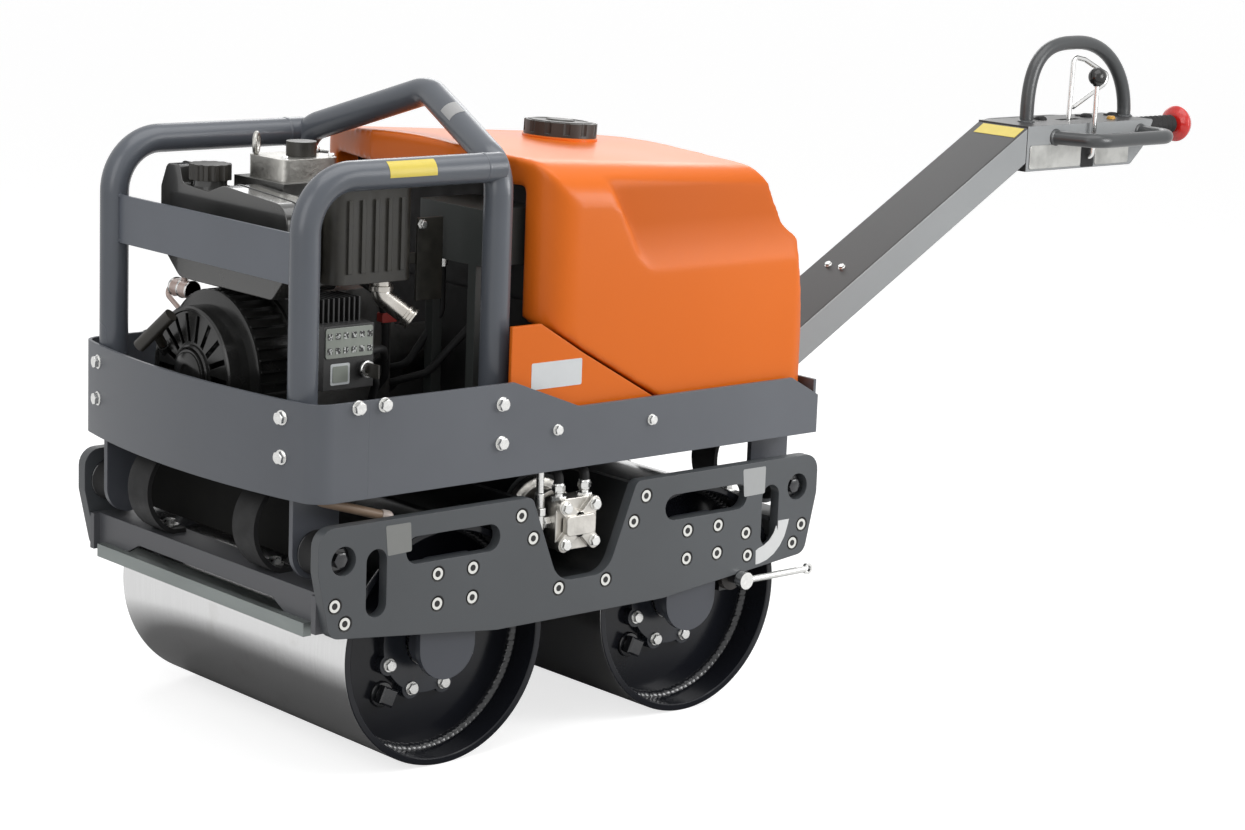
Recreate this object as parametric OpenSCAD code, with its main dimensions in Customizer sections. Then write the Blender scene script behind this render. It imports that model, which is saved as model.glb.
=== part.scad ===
// Walk behind vibratory roller, in millimetres.
// It stands on z = 0 on its two drums, with the handle towards +X.
// The operator's left hand side is towards -Y.
// Heights of the lower frame are given over the axles, and those above it over the deck.

/* [Drums] */
// Diameter of each drum
drum_d = 400; // [380:1:404]
// Gap between the drum rims and the side plates
drum_gap = 5; // [3:1:10]
// Distance between the axles
wheelbase = 530; // [520:1:540]
// Wall of the drum shell
drum_wall = 12; // [8:1:16]
// Depth from the drum rim to the end disc
end_recess = 60; // [50:1:70]
// Thickness of the end disc
end_disc_t = 12; // [8:1:16]
// Leg of the weld round the end disc
weld_leg = 10; // [4:1:14]
// Diameter of the fixed axle stubs
axle_d = 50; // [40:1:60]
// Outer diameter of the drum bearings
bearing_od = 90; // [80:1:100]
// Width of the drum bearings
bearing_w = 20; // [16:1:24]
// Diameter of the hub flange
hub_d = 196; // [186:1:210]
// Thickness of the hub flange
hub_t = 14; // [10:1:18]
// Number of hub bolts
hub_bolt_count = 8; // [6:1:10]
// Diameter of the hub bolt circle
hub_pcd = 170; // [160:1:180]
// Diameter of the drain plug in each drum
plug_d = 34; // [26:1:40]

/* [Side plates] */
// Overall width over the side plates
frame_w = 700; // [690:1:720]
// Thickness of a side plate
plate_t = 20; // [16:1:22]
// How far a side plate reaches past the drums
plate_reach = 73; // [66:1:85]
// Height of its top edge over the axles
plate_rise = 230; // [225:1:240]
// Bottom edge over the axles, between the drums
plate_low = 18; // [12:1:22]
// Bottom edge over the axles, at the ends
plate_end_low = 53; // [45:1:58]
// Half width of the notch at its top
notch_half = 113; // [105:1:118]
// Half width of the notch at its bottom
notch_low_half = 54; // [50:1:58]
// Bottom of the notch over the axles
notch_low = 80; // [76:1:90]
// Corner radius of the notch
notch_r = 45; // [30:1:46]
// Diameter of the mount access holes
access_d = 47; // [40:1:52]
// Length of the lashing slots that lie flat
long_slot_l = 190; // [150:1:200]
// Height of those slots
long_slot_h = 45; // [36:1:48]
// Length of the upright lashing slots
short_slot_l = 110; // [90:1:120]
// Width of those slots
short_slot_w = 40; // [32:1:44]
// Diameter of the frame bolts
frame_bolt_d = 12; // [10:1:13]
// Diameter of their heads
frame_head_d = 20; // [18:1:21]
// Diameter of the counterbores
counterbore_d = 27; // [25:1:29]

/* [Cross beams and scrapers] */
// Height of the beam face
beam_face_h = 54; // [46:1:58]
// Depth of the beam top along the machine
beam_depth = 60; // [50:1:62]
// Sheet of the beams
beam_t = 8; // [6:1:10]
// Width of the opening in the beam face, at its foot
beam_gap_w = 480; // [420:1:500]
// Thickness of the scraper bar
scraper_bar_t = 15; // [10:1:16]
// Gap from the scraper blade to the drum
scraper_gap = 2; // [1:0.5:4]

/* [Exciter] */
// Height of the exciter shaft over the axles
exciter_rise = 168; // [165:1:172]
// Outer diameter of the exciter tube
exciter_d = 136; // [126:1:138]
// Gap between the exciter tube and the side plates
exciter_gap = 115; // [105:1:130]
// Wall of the exciter tube
exciter_wall = 12; // [8:1:14]
// Diameter of the eccentric shaft
shaft_d = 40; // [34:1:44]
// Radius of the eccentric weights
weight_r = 48; // [40:1:50]
// Sheet of the trough
trough_t = 10; // [8:1:11]
// Width over the exciter motor
motor_w = 88; // [80:1:92]

/* [Upper frame] */
// Height of the deck's top over the axles
deck_rise = 278; // [274:1:290]
// Thickness of the deck
deck_t = 8; // [6:1:10]
// How far the skirts stand inside the side plates
skirt_inset = 10; // [5:1:15]
// Thickness of skirts and bumper
skirt_t = 6; // [4:1:8]
// Height of the skirts over the deck at the tank
skirt_h = 91; // [84:1:98]
// Height of the skirts over the deck at the engine
skirt_front_h = 144; // [138:1:150]
// Bow of the bumper at its middle
bumper_bow = 30; // [20:1:36]
// Corner radius of the bumper
bumper_r = 40; // [30:1:45]
// Diameter of the rubber mounts
mount_d = 72; // [66:1:76]
// Width of the leg brackets
leg_w = 88; // [80:1:92]
// Thickness of the leg brackets
leg_t = 10; // [8:1:12]

/* [Cage] */
// Diameter of the cage tube
cage_tube = 48; // [42:1:50]
// Wall of the cage tube
cage_wall = 4; // [3:0.5:5]
// How far the posts stand inside the skirts
cage_inset = 68; // [66:1:75]
// Height of the rails over the deck
rail_rise = 484; // [480:1:500]
// Height of the roof peak over the deck
peak_rise = 579; // [570:1:590]
// How far the peak stands behind the rear posts
peak_lean = 64; // [50:1:70]
// Height of the front plate
guard_h = 80; // [70:1:90]

/* [Water tank] */
// How far the tank stands inside the skirts
tank_inset = 15; // [12:1:20]
// Height of the tank over the deck, at its front
tank_h = 509; // [500:1:511]
// Wall of the tank
tank_wall = 6; // [4:1:8]
// Diameter of the filler cap
tank_cap_d = 128; // [118:1:134]
// Height of the filler cap
tank_cap_h = 25; // [20:1:30]

/* [Engine] */
// Height of the crankshaft over the deck
crank_rise = 132; // [131:1:136]
// Diameter of the fan housing
fan_d = 262; // [240:1:262]
// Diameter of the starter cover
starter_d = 220; // [200:1:228]
// Diameter of the fuel cap
fuel_cap_d = 70; // [60:1:76]
// Outer diameter of the exhaust pipe
exhaust_d = 34; // [28:1:38]

/* [Handle] */
// Slope of the arm in degrees
arm_slope = 29.9; // [28:0.1:32]
// Width of the arm
arm_w = 132; // [124:1:140]
// Thickness of the arm
arm_t = 62; // [54:1:66]
// Sheet of the arm and the head
arm_wall = 4; // [3:0.5:5]
// Length of the arm, from its pin to the head
arm_l = 870; // [840:1:900]
// Length of the head
head_l = 386; // [376:1:400]
// Height of the head
head_h = 90; // [84:1:96]
// Diameter of the hand tubes
hand_tube = 28; // [25:1:30]
// Width over the handlebar
bar_w = 310; // [280:1:340]
// Height of the grip hoop over the head
hoop_h = 162; // [140:1:180]
// Span of the grip hoop
hoop_l = 302; // [290:1:306]
// Diameter of the safety button
button_d = 68; // [60:1:74]
// Travel of the safety button
button_travel = 20; // [10:1:26]

/* [Hidden] */
$fn = 48;

// Running clearances and small gaps shared by all pieces
fit = 0.05;
air = 0.3;
over = 1;

// Driving places of the frame
axle_z = drum_d / 2;
axle_x = wheelbase / 2;
plate_out = frame_w / 2;
plate_in = plate_out - plate_t;
drum_w = 2 * (plate_in - drum_gap);
plate_l = wheelbase + drum_d + 2 * plate_reach;
skirt_w = frame_w - 2 * skirt_inset;
cage_w = skirt_w - 2 * cage_inset;
tank_w = skirt_w - 2 * tank_inset;
exciter_l = 2 * (plate_in - exciter_gap);
deck_top = axle_z + deck_rise;
deck_low = deck_top - deck_t;
skirt_out = skirt_w / 2;
skirt_in = skirt_out - skirt_t;
flange_t = 12;
flange_in = plate_in - flange_t;

// Front end of the machine
bumper_x = 575;

// Paint and finishes
steel_grey = [0.30, 0.32, 0.34];
dark_black = [0.05, 0.05, 0.05];
bare_steel = [0.72, 0.73, 0.74];
cast_grey = [0.55, 0.56, 0.55];
tank_orange = [0.93, 0.42, 0.12];
button_red = [0.82, 0.10, 0.08];

// Outline helpers: each corner of a polygon becomes an arc of its own radius
function unit(v) = v / norm(v);
function arc_steps(r) = r > 0 ? 6 : 0;
function corner_arc(a, b, c, r) =
    let (u = unit(a - b), v = unit(c - b), half = acos(u * v) / 2,
         centre = b + unit(u + v) * r / sin(half), reach = r / tan(half),
         from = b + u * reach - centre, to = b + v * reach - centre,
         start = atan2(from.y, from.x), turn = atan2(to.y, to.x) - start,
         sweep = turn > 180 ? turn - 360 : turn < -180 ? turn + 360 : turn)
    [for (i = [0 : arc_steps(r)])
        centre + r * [cos(start + sweep * i / arc_steps(r)), sin(start + sweep * i / arc_steps(r))]];
function round_corners(points, radii) =
    let (n = len(points))
    [for (i = [0 : n - 1])
        each radii[i] > 0
            ? corner_arc(points[(i + n - 1) % n], points[i], points[(i + 1) % n], radii[i])
            : [points[i]]];

// Extrusions and discs along the machine's axes
module along_y(y0, y1) translate([0, y1, 0]) rotate([90, 0, 0]) linear_extrude(y1 - y0) children();
module along_x(x0, x1) translate([x0, 0, 0]) rotate([90, 0, 90]) linear_extrude(x1 - x0) children();
module disc_y(r, y0, y1, x, z) translate([x, y1, z]) rotate([90, 0, 0]) cylinder(r = r, h = y1 - y0);
module disc_x(r, x0, x1, y, z) translate([x0, y, z]) rotate([0, 90, 0]) cylinder(r = r, h = x1 - x0);
module disc_z(r, z0, z1, x, y) translate([x, y, z0]) cylinder(r = r, h = z1 - z0);
module block(x0, x1, y0, y1, z0, z1) translate([x0, y0, z0]) cube([x1 - x0, y1 - y0, z1 - z0]);
module both_sides() {
    children();
    mirror([0, 1, 0]) children();
}
module both_ends() {
    children();
    mirror([1, 0, 0]) children();
}
module slot_2d(l, h) {
    square([l - h, h], center = true);
    for (side = [-1, 1])
        translate([side * (l - h) / 2, 0]) circle(d = h);
}

// Round bar or tube through a list of points, with a bend at each inner point
function side_of(d) = abs(d.z) < 0.9 * norm(d) ? unit(cross([0, 0, 1], d)) : unit(cross([1, 0, 0], d));
function axes(x, y, z, at) =
    [[x.x, y.x, z.x, at.x], [x.y, y.y, z.y, at.y], [x.z, y.z, z.z, at.z], [0, 0, 0, 1]];
function turn_at(a, b, c) = acos(min(1, unit(b - a) * unit(c - b)));
function bend_cut(points, i, r) =
    i == 0 || i == len(points) - 1 ? 0 : r * tan(turn_at(points[i - 1], points[i], points[i + 1]) / 2);
module bar(p, q, r) {
    d = q - p;
    x = side_of(d);
    multmatrix(axes(x, cross(unit(d), x), unit(d), p)) cylinder(r = r, h = norm(d));
}
module bend(a, b, c, bend_r, r, wall) {
    u = unit(a - b);
    v = unit(c - b);
    turn = turn_at(a, b, c);
    centre = b + unit(u + v) * bend_r / cos(turn / 2);
    start = b + u * bend_r * tan(turn / 2) - centre;
    x = unit(start);
    n = unit(cross(start, b + v * bend_r * tan(turn / 2) - centre));
    multmatrix(axes(x, cross(n, x), n, centre))
        rotate_extrude(angle = turn) translate([bend_r, 0]) difference() {
            circle(r = r);
            if (wall > 0) circle(r = r - wall);
        }
}
// The straight runs stop a weld seam short of the bends; wall = 0 gives a solid bar
seam = 0.01;
module bent_bar(points, bend_r, r, wall = 0) {
    for (i = [0 : len(points) - 2]) {
        d = unit(points[i + 1] - points[i]);
        p = points[i] + d * (bend_cut(points, i, bend_r) + (i > 0 ? seam : 0));
        q = points[i + 1] - d * (bend_cut(points, i + 1, bend_r) + (i < len(points) - 2 ? seam : 0));
        difference() {
            bar(p, q, r);
            if (wall > 0) bar(p - d * over, q + d * over, r - wall);
        }
    }
    for (i = [1 : 1 : len(points) - 2])
        bend(points[i - 1], points[i], points[i + 1], bend_r, r, wall);
}

// Side plates
plate_half = plate_l / 2;
plate_top = axle_z + plate_rise;
plate_foot = axle_z + plate_low;
plate_flat_half = 181;
toe_in = 24;
knee_drop = 70;
plate_toe = plate_half - toe_in;
plate_knee = plate_top - knee_drop;
plate_end_z = axle_z + plate_end_low;
plate_corner_r = 30;
plate_toe_r = 22;
plate_foot_r = 60;
notch_lip_r = 14;
access_in = 48;
access_drop = 55;
short_slot_in = 64;
short_slot_drop = 99;
long_slot_in = 152;
long_slot_drop = 56;
access_x = plate_half - access_in;
access_z = plate_top - access_drop;
short_slot_x = access_x - short_slot_in;
short_slot_z = plate_top - short_slot_drop;
long_slot_x = short_slot_x - long_slot_in;
long_slot_z = plate_top - long_slot_drop;
// Frame bolts: places as shares of the plate's half length and of its rise over the axles
beam_bolt_shares = [[0.9387, 0.4565], [0.9015, 0.3217]];
carrier_bolt_x_shares = [-0.571, 0.696];
carrier_bolt_z_shares = [0.348, 0.561];
trough_bolt_shares = [[0.2509, 0.8783], [0.2026, 0.7], [0.0948, 0.3]];
brake_bolt_shares = [[0.6896, 0.4652], [0.7007, 0.287]];
function bolt_places(shares) = [for (s = shares) [s.x * plate_half, s.y * plate_rise]];
carrier_half = 56;
beam_bolts = bolt_places(beam_bolt_shares);
carrier_bolts = [for (u = carrier_bolt_x_shares) for (v = carrier_bolt_z_shares)
    [axle_x + u * carrier_half, v * plate_rise]];
trough_bolts = bolt_places(trough_bolt_shares);
brake_bolts = bolt_places(brake_bolt_shares);
frame_bolts = concat(beam_bolts, carrier_bolts, trough_bolts);
counterbore_deep = 12.5;
frame_head_h = 12;
frame_bolt_l = plate_t + flange_t - counterbore_deep;
hex_key = 10;
hex_deep = 6;
module plate_outline() {
    half = [[notch_low_half, axle_z + notch_low], [notch_half, plate_top], [plate_half, plate_top],
        [plate_half, plate_knee], [plate_toe, plate_end_z], [plate_flat_half, plate_foot]];
    radii = [notch_r, notch_lip_r, plate_corner_r, plate_corner_r, plate_toe_r, plate_foot_r];
    n = len(half);
    left = [for (i = [n - 1 : -1 : 0]) [-half[i].x, half[i].y]];
    left_radii = [for (i = [n - 1 : -1 : 0]) radii[i]];
    polygon(round_corners(concat(half, left), concat(radii, left_radii)));
}
module plate_bolt_places(bolts) {
    both_ends()
        for (b = bolts)
            translate([b.x, -plate_out, axle_z + b.y]) rotate([-90, 0, 0]) children();
}
module one_end_places(bolts) {
    for (b = bolts)
        translate([b.x, -plate_out, axle_z + b.y]) rotate([-90, 0, 0]) children();
}
module counterbore() {
    translate([0, 0, -over]) cylinder(d = counterbore_d, h = counterbore_deep + over);
    cylinder(r = frame_bolt_d / 2 + air, h = plate_t + over);
}
module side_plate() {
    difference() {
        along_y(-plate_out, -plate_in) plate_outline();
        plate_bolt_places(frame_bolts) counterbore();
        both_ends() {
            disc_y(access_d / 2, -plate_out - over, -plate_in + over, access_x, access_z);
            along_y(-plate_out - over, -plate_in + over) {
                translate([short_slot_x, short_slot_z]) rotate(90) slot_2d(short_slot_l, short_slot_w);
                translate([long_slot_x, long_slot_z]) slot_2d(long_slot_l, long_slot_h);
            }
        }
        children();
    }
}
module side_plate_left() color(steel_grey) translate([frame_x, 0, 0])
    side_plate() one_end_places(brake_bolts) counterbore();
module side_plate_right() color(steel_grey) translate([frame_x, 0, 0])
    mirror([0, 1, 0]) side_plate();
module frame_bolt() {
    translate([0, 0, counterbore_deep]) cylinder(d = frame_bolt_d, h = frame_bolt_l);
    difference() {
        translate([0, 0, counterbore_deep - frame_head_h]) cylinder(d = frame_head_d, h = frame_head_h);
        translate([0, 0, counterbore_deep - frame_head_h - over])
            cylinder(d = hex_key, h = hex_deep + over, $fn = 6);
    }
}
module side_plate_bolts() color(bare_steel) translate([frame_x, 0, 0]) {
    both_sides() plate_bolt_places(frame_bolts) frame_bolt();
    one_end_places(brake_bolts) frame_bolt();
}

// Cross beams: a folded sheet between two bolted end plates
beam_in = 23;
beam_drop = 110;
beam_gap_slant = 45;
beam_gap_h = 22;
beam_end_back = 45;
beam_end_low = 8;
beam_face_x = plate_half - beam_in;
beam_top = plate_top - beam_drop;
beam_low = beam_top - beam_face_h;
beam_gap_top_w = beam_gap_w - 2 * beam_gap_slant;
module beam_end_holes() {
    for (b = beam_bolts)
        disc_y(frame_bolt_d / 2 + fit, -plate_in - over, -flange_in + over, b.x, axle_z + b.y);
}
module cross_beam() {
    block(beam_face_x - beam_depth, beam_face_x, -flange_in, flange_in, beam_top - beam_t, beam_top);
    along_x(beam_face_x - beam_t, beam_face_x) difference() {
        translate([-flange_in, beam_low]) square([2 * flange_in, beam_face_h - beam_t]);
        polygon([[-beam_gap_w / 2, beam_low - over], [-beam_gap_top_w / 2, beam_low + beam_gap_h],
            [beam_gap_top_w / 2, beam_low + beam_gap_h], [beam_gap_w / 2, beam_low - over]]);
    }
    both_sides() difference() {
        block(beam_face_x - beam_end_back, beam_face_x + flange_t, -plate_in, -flange_in,
            beam_low - beam_end_low, beam_top);
        beam_end_holes();
    }
}
module cross_beams() color(steel_grey) translate([frame_x, 0, 0]) both_ends() cross_beam();

// Scrapers: a bar on the beam face and a blade that reaches the drum
scraper_lap = 5;
scraper_bar_h = 22;
blade_t = 6;
blade_up = 3;
scraper_side_gap = 16;
scraper_top = beam_low + scraper_lap;
blade_z = scraper_top - scraper_bar_h + blade_up;
scraper_half = flange_in - scraper_side_gap;
blade_reach = sqrt(pow(axle_z, 2) - pow(blade_z - axle_z, 2)) + scraper_gap;
module scraper() {
    block(beam_face_x, beam_face_x + scraper_bar_t, -scraper_half, scraper_half,
        scraper_top - scraper_bar_h, scraper_top);
    block(axle_x + blade_reach, beam_face_x, -scraper_half, scraper_half, blade_z, blade_z + blade_t);
}
module scrapers() color(bare_steel) translate([frame_x, 0, 0]) both_ends() scraper();

// Drum carriers: an arm on each side plate, with the axle stub on the left hand ones
carrier_rise = 150;
carrier_top = axle_z + carrier_rise;
hub_out = drum_w / 2 - end_recess + hub_t;
hub_boss_l = 46;
hub_in = hub_out - hub_boss_l;
bearing_back = 4;
axle_end = hub_in + bearing_back;
carrier_top_r = 18;
axle_shoulder_gap = 6;
module carrier_arm() {
    difference() {
        along_y(-plate_in, -flange_in) {
            translate([axle_x, axle_z]) circle(r = carrier_half);
            polygon(round_corners([[axle_x - carrier_half, axle_z], [axle_x + carrier_half, axle_z],
                [axle_x + carrier_half, carrier_top], [axle_x - carrier_half, carrier_top]],
                [0, 0, carrier_top_r, carrier_top_r]));
        }
        for (b = carrier_bolts)
            disc_y(frame_bolt_d / 2 + fit, -plate_in - over, -flange_in + over, b.x, axle_z + b.y);
    }
}
module drum_carriers() color(steel_grey) translate([frame_x, 0, 0]) both_ends() {
    both_sides() carrier_arm();
    disc_y(axle_d / 2, -flange_in, -axle_end, axle_x, axle_z);
    disc_y(bearing_od / 2, -flange_in, -hub_out - axle_shoulder_gap, axle_x, axle_z);
}

// Bearings of the drums and of the exciter shaft
module ring_y(r_out, r_in, y0, y1, x, z) difference() {
    disc_y(r_out, y0, y1, x, z);
    disc_y(r_in, y0 - over, y1 + over, x, z);
}
drum_bearing_out = hub_out - bearing_back;
exciter_z = axle_z + exciter_rise;
exciter_half = exciter_l / 2;
shaft_bearing_r = exciter_d / 2 - exciter_wall;
shaft_bearing_w = 24;
shaft_bearing_cap = 14;
shaft_bearing_out = exciter_half - shaft_bearing_cap;
module bearings() color(bare_steel) translate([frame_x, 0, 0]) both_sides() {
    both_ends() ring_y(bearing_od / 2, axle_d / 2 + fit, -drum_bearing_out,
        -drum_bearing_out + bearing_w, axle_x, axle_z);
    ring_y(shaft_bearing_r, shaft_d / 2 + fit, -shaft_bearing_out,
        -shaft_bearing_out + shaft_bearing_w, 0, exciter_z);
}

// Drums: shell, two welded end discs and a drain plug in each
disc_out = drum_w / 2 - end_recess;
disc_in = disc_out - end_disc_t;
hub_bore_gap = 1;
boss_wall = 14;
boss_r = bearing_od / 2 + boss_wall;
plug_r = 118;
plug_h = 12;
plug_turn = -45;
module drum(x) {
    shell_r = drum_d / 2 - drum_wall;
    translate([x, 0, axle_z]) rotate([90, 0, 0]) rotate_extrude() {
        translate([shell_r, -drum_w / 2]) square([drum_wall, drum_w]);
        for (side = [0, 1]) mirror([0, side])
            polygon([[shell_r + fit, disc_out + seam], [shell_r + fit, disc_out + weld_leg],
                [shell_r, disc_out + weld_leg], [shell_r - weld_leg, disc_out + seam]]);
    }
    both_sides() translate([x, 0, axle_z]) {
        ring_y(shell_r - seam, boss_r + hub_bore_gap, -disc_out, -disc_in, 0, 0);
        rotate([0, plug_turn, 0]) disc_y(plug_d / 2, -disc_out - plug_h, -disc_out + fit, -plug_r, 0);
    }
}
module front_drum() color(bare_steel) translate([frame_x, 0, 0]) drum(-axle_x);
module rear_drum() color(bare_steel) translate([frame_x, 0, 0]) drum(axle_x);
// Hub: a lobed flange on the end disc, with a boss that holds the bearing
hub_lobe_r = 18;
hub_waist_in = 8;
hub_waist_r = hub_d / 2 - hub_waist_in;
hub_bolt_d = 12;
hub_head_d = 19;
hub_head_h = 8;
module hub_places(x) {
    for (i = [0 : hub_bolt_count - 1])
        translate([x, 0, axle_z]) rotate([0, 360 / hub_bolt_count * (i + 0.5), 0])
            translate([hub_pcd / 2, 0, 0]) children();
}
module hub(x) {
    difference() {
        union() {
            disc_y(hub_waist_r, -hub_out, -disc_out, x, axle_z);
            hub_places(x) disc_y(hub_lobe_r, -hub_out, -disc_out, 0, 0);
            disc_y(boss_r, -disc_out, -hub_in, x, axle_z);
        }
        disc_y(bearing_od / 2 + fit, -hub_out - over, -hub_in + over, x, axle_z);
        hub_places(x) disc_y(hub_bolt_d / 2 + fit, -hub_out - over, -disc_out + over, 0, 0);
    }
}
module hub_bolts(x) {
    hub_places(x) {
        disc_y(hub_bolt_d / 2, -hub_out, -disc_out, 0, 0);
        translate([0, -hub_out, 0]) rotate([90, 0, 0]) cylinder(d = hub_head_d, h = hub_head_h, $fn = 6);
    }
}
module front_drum_hubs() color(dark_black) translate([frame_x, 0, 0]) both_sides() hub(-axle_x);
module rear_drum_hubs() color(dark_black) translate([frame_x, 0, 0]) both_sides() hub(axle_x);
module front_hub_bolts() color(bare_steel) translate([frame_x, 0, 0]) both_sides() hub_bolts(-axle_x);
module rear_hub_bolts() color(bare_steel) translate([frame_x, 0, 0]) both_sides() hub_bolts(axle_x);

// Drive motors: fixed bodies inside the drums, on the right hand side
wheel_motor_d = 112;
wheel_motor_l = 110;
wheel_motor_gap = 3;
module drive_motor(x) {
    inner = hub_in - wheel_motor_gap;
    disc_y(bearing_od / 2, hub_out + axle_shoulder_gap, flange_in, x, axle_z);
    disc_y(axle_d / 2, inner, hub_out + axle_shoulder_gap, x, axle_z);
    disc_y(wheel_motor_d / 2, inner - wheel_motor_l, inner, x, axle_z);
}
module drive_motors() color(dark_black) translate([frame_x, 0, 0]) {
    drive_motor(-axle_x);
    drive_motor(axle_x);
}

// Exciter frame: a trough that follows the notch, its flanges and two saddles
trough_top_gap = 6;
trough_top = plate_top - trough_top_gap;
drum_clear = 6;
flange_edge = 34;
saddle_in = 65;
saddle_y = exciter_half - saddle_in;
saddle_t = 12;
saddle_rise = 10;
trough_flange_shares = [[1, 1], [1, 0.83], [0.83, 0.57], [0.45, 0]];
trough_flange_h = 170;
module trough_2d(i, top) {
    low = axle_z + notch_low - i;
    polygon(round_corners([[-notch_low_half - i, low], [notch_low_half + i, low],
        [notch_half + i, top], [-notch_half - i, top]], [notch_r + i, notch_r + i, 0, 0]));
}
module trough_flange() {
    w = notch_half + flange_edge;
    half = [for (s = trough_flange_shares) [s.x * w, trough_top - (1 - s.y) * trough_flange_h]];
    n = len(half);
    difference() {
        along_y(-plate_in, -flange_in) difference() {
            polygon(concat(half, [for (i = [n - 1 : -1 : 0]) [-half[i].x, half[i].y]]));
            trough_2d(0, plate_top + over);
            for (side = [-1, 1])
                translate([side * axle_x, axle_z]) circle(r = drum_d / 2 + drum_clear);
        }
        both_ends() for (b = trough_bolts)
            disc_y(frame_bolt_d / 2 + fit, -plate_in - over, -flange_in + over, b.x, axle_z + b.y);
    }
}
module exciter_frame() color(dark_black) translate([frame_x, 0, 0]) {
    along_y(-flange_in, flange_in) difference() {
        trough_2d(trough_t, trough_top);
        trough_2d(0, plate_top + over);
    }
    both_sides() {
        trough_flange();
        along_y(-saddle_y - saddle_t, -saddle_y) difference() {
            trough_2d(0, exciter_z + saddle_rise);
            translate([0, exciter_z]) circle(d = exciter_d);
        }
    }
}

// Exciter: housing, eccentric shaft and motor
shaft_hole_gap = 1;
shaft_stub = 11;
shaft_back = 8;
weight_gap = 37;
shaft_out = exciter_half + shaft_stub;
shaft_far = exciter_half - shaft_back;
weight_y0 = 40;
weight_y1 = shaft_bearing_out - shaft_bearing_w - weight_gap;
module exciter_housing() color(dark_black) translate([frame_x, 0, 0]) difference() {
    disc_y(exciter_d / 2, -exciter_half, exciter_half, 0, exciter_z);
    disc_y(shaft_bearing_r, -shaft_bearing_out, shaft_bearing_out, 0, exciter_z);
    disc_y(shaft_d / 2 + shaft_hole_gap, -exciter_half - over, exciter_half + over, 0, exciter_z);
}
module eccentric_shaft() color(bare_steel) translate([frame_x, 0, 0]) {
    disc_y(shaft_d / 2, -shaft_out, shaft_far, 0, exciter_z);
    both_sides() intersection() {
        disc_y(weight_r, weight_y0, weight_y1, 0, exciter_z);
        block(-weight_r - over, weight_r + over, weight_y0 - over, weight_y1 + over,
            exciter_z - weight_r - over, exciter_z);
    }
}
motor_bell_t = 15;
motor_bell_r = 60;
motor_bell_bore = 26;
motor_body_y = exciter_half + motor_bell_t;
motor_body_r = 40;
motor_block_l = 34;
motor_face_y = plate_in;
motor_block_y = motor_face_y - motor_block_l;
motor_corner_r = 14;
motor_cap_h = 8;
motor_cap_w = 24;
motor_bolt_pitch = 31;
motor_bolt_d = 16;
motor_bolt_h = 7;
motor_boss_r = 17;
module exciter_motor() color(bare_steel) translate([frame_x, 0, 0]) {
    half = motor_w / 2;
    ring_y(motor_bell_r, motor_bell_bore, -motor_body_y, -exciter_half, 0, exciter_z);
    disc_y(motor_body_r, -motor_block_y, -motor_body_y, 0, exciter_z);
    along_y(-motor_face_y, -motor_block_y) translate([0, exciter_z])
        polygon(round_corners([[-half, -half], [half, -half], [half, half], [-half, half]],
            [for (i = [0 : 3]) motor_corner_r]));
    along_y(-motor_face_y - motor_cap_h, -motor_face_y) translate([0, exciter_z])
        for (a = [45, 135]) rotate(a)
            slot_2d(2 * sqrt(2) * motor_bolt_pitch + motor_cap_w, motor_cap_w);
    disc_y(motor_boss_r, -motor_face_y - 2 * motor_cap_h, -motor_face_y - motor_cap_h, 0, exciter_z);
    for (x = [-1, 1], z = [-1, 1])
        translate([x * motor_bolt_pitch, -motor_face_y - motor_cap_h, exciter_z + z * motor_bolt_pitch])
            rotate([90, 0, 0]) cylinder(d = motor_bolt_d, h = motor_bolt_h, $fn = 6);
}

// Hoses of the exciter motor, from its ports to the deck
port_x = 28;
port_y = motor_face_y - motor_block_l / 2;
port_d = 24;
port_h = 20;
hose_r = 8;
hose_bend = 13;
hose_drop = 15;
hose_in_y = 190;
module hydraulic_hoses() color(dark_black) translate([frame_x, 0, 0]) both_ends() {
    port_z = exciter_z + motor_w / 2;
    run_z = deck_low - hose_drop;
    translate([port_x, -port_y, port_z]) cylinder(d = port_d, h = port_h, $fn = 6);
    bent_bar([[port_x, -port_y, port_z + port_h], [port_x, -port_y, run_z],
        [port_x, -hose_in_y, run_z], [port_x, -hose_in_y, deck_low]], hose_bend, hose_r);
}

// Limit straps between the beams and the deck
strap_x = 494;
strap_y = 154;
strap_w = 60;
strap_t = 8;
strap_r = 81;
strap_tab = 26;
strap_bolt_d = 18;
strap_bolt_h = 9;
module limit_strap() {
    mid = (beam_top + deck_low) / 2;
    half = (deck_low - beam_top) / 2;
    arc_x = sqrt(pow(strap_r, 2) - pow(half, 2));
    along_y(-strap_y - strap_w / 2, -strap_y + strap_w / 2) {
        intersection() {
            translate([arc_x, mid]) difference() {
                circle(r = strap_r);
                circle(r = strap_r - strap_t);
            }
            translate([arc_x - strap_r - over, beam_top])
                square([strap_r - arc_x + strap_t / 2 + over, 2 * half]);
        }
        for (z = [beam_top, deck_low - strap_t])
            translate([0, z]) square([strap_tab, strap_t]);
    }
    translate([strap_tab / 2, -strap_y, beam_top + strap_t])
        cylinder(d = strap_bolt_d, h = strap_bolt_h, $fn = 6);
}
module limit_straps() color(dark_black) translate([frame_x, 0, 0]) both_sides()
    for (x = [-strap_x, strap_x])
        translate([x, 0, 0]) limit_strap();

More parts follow.
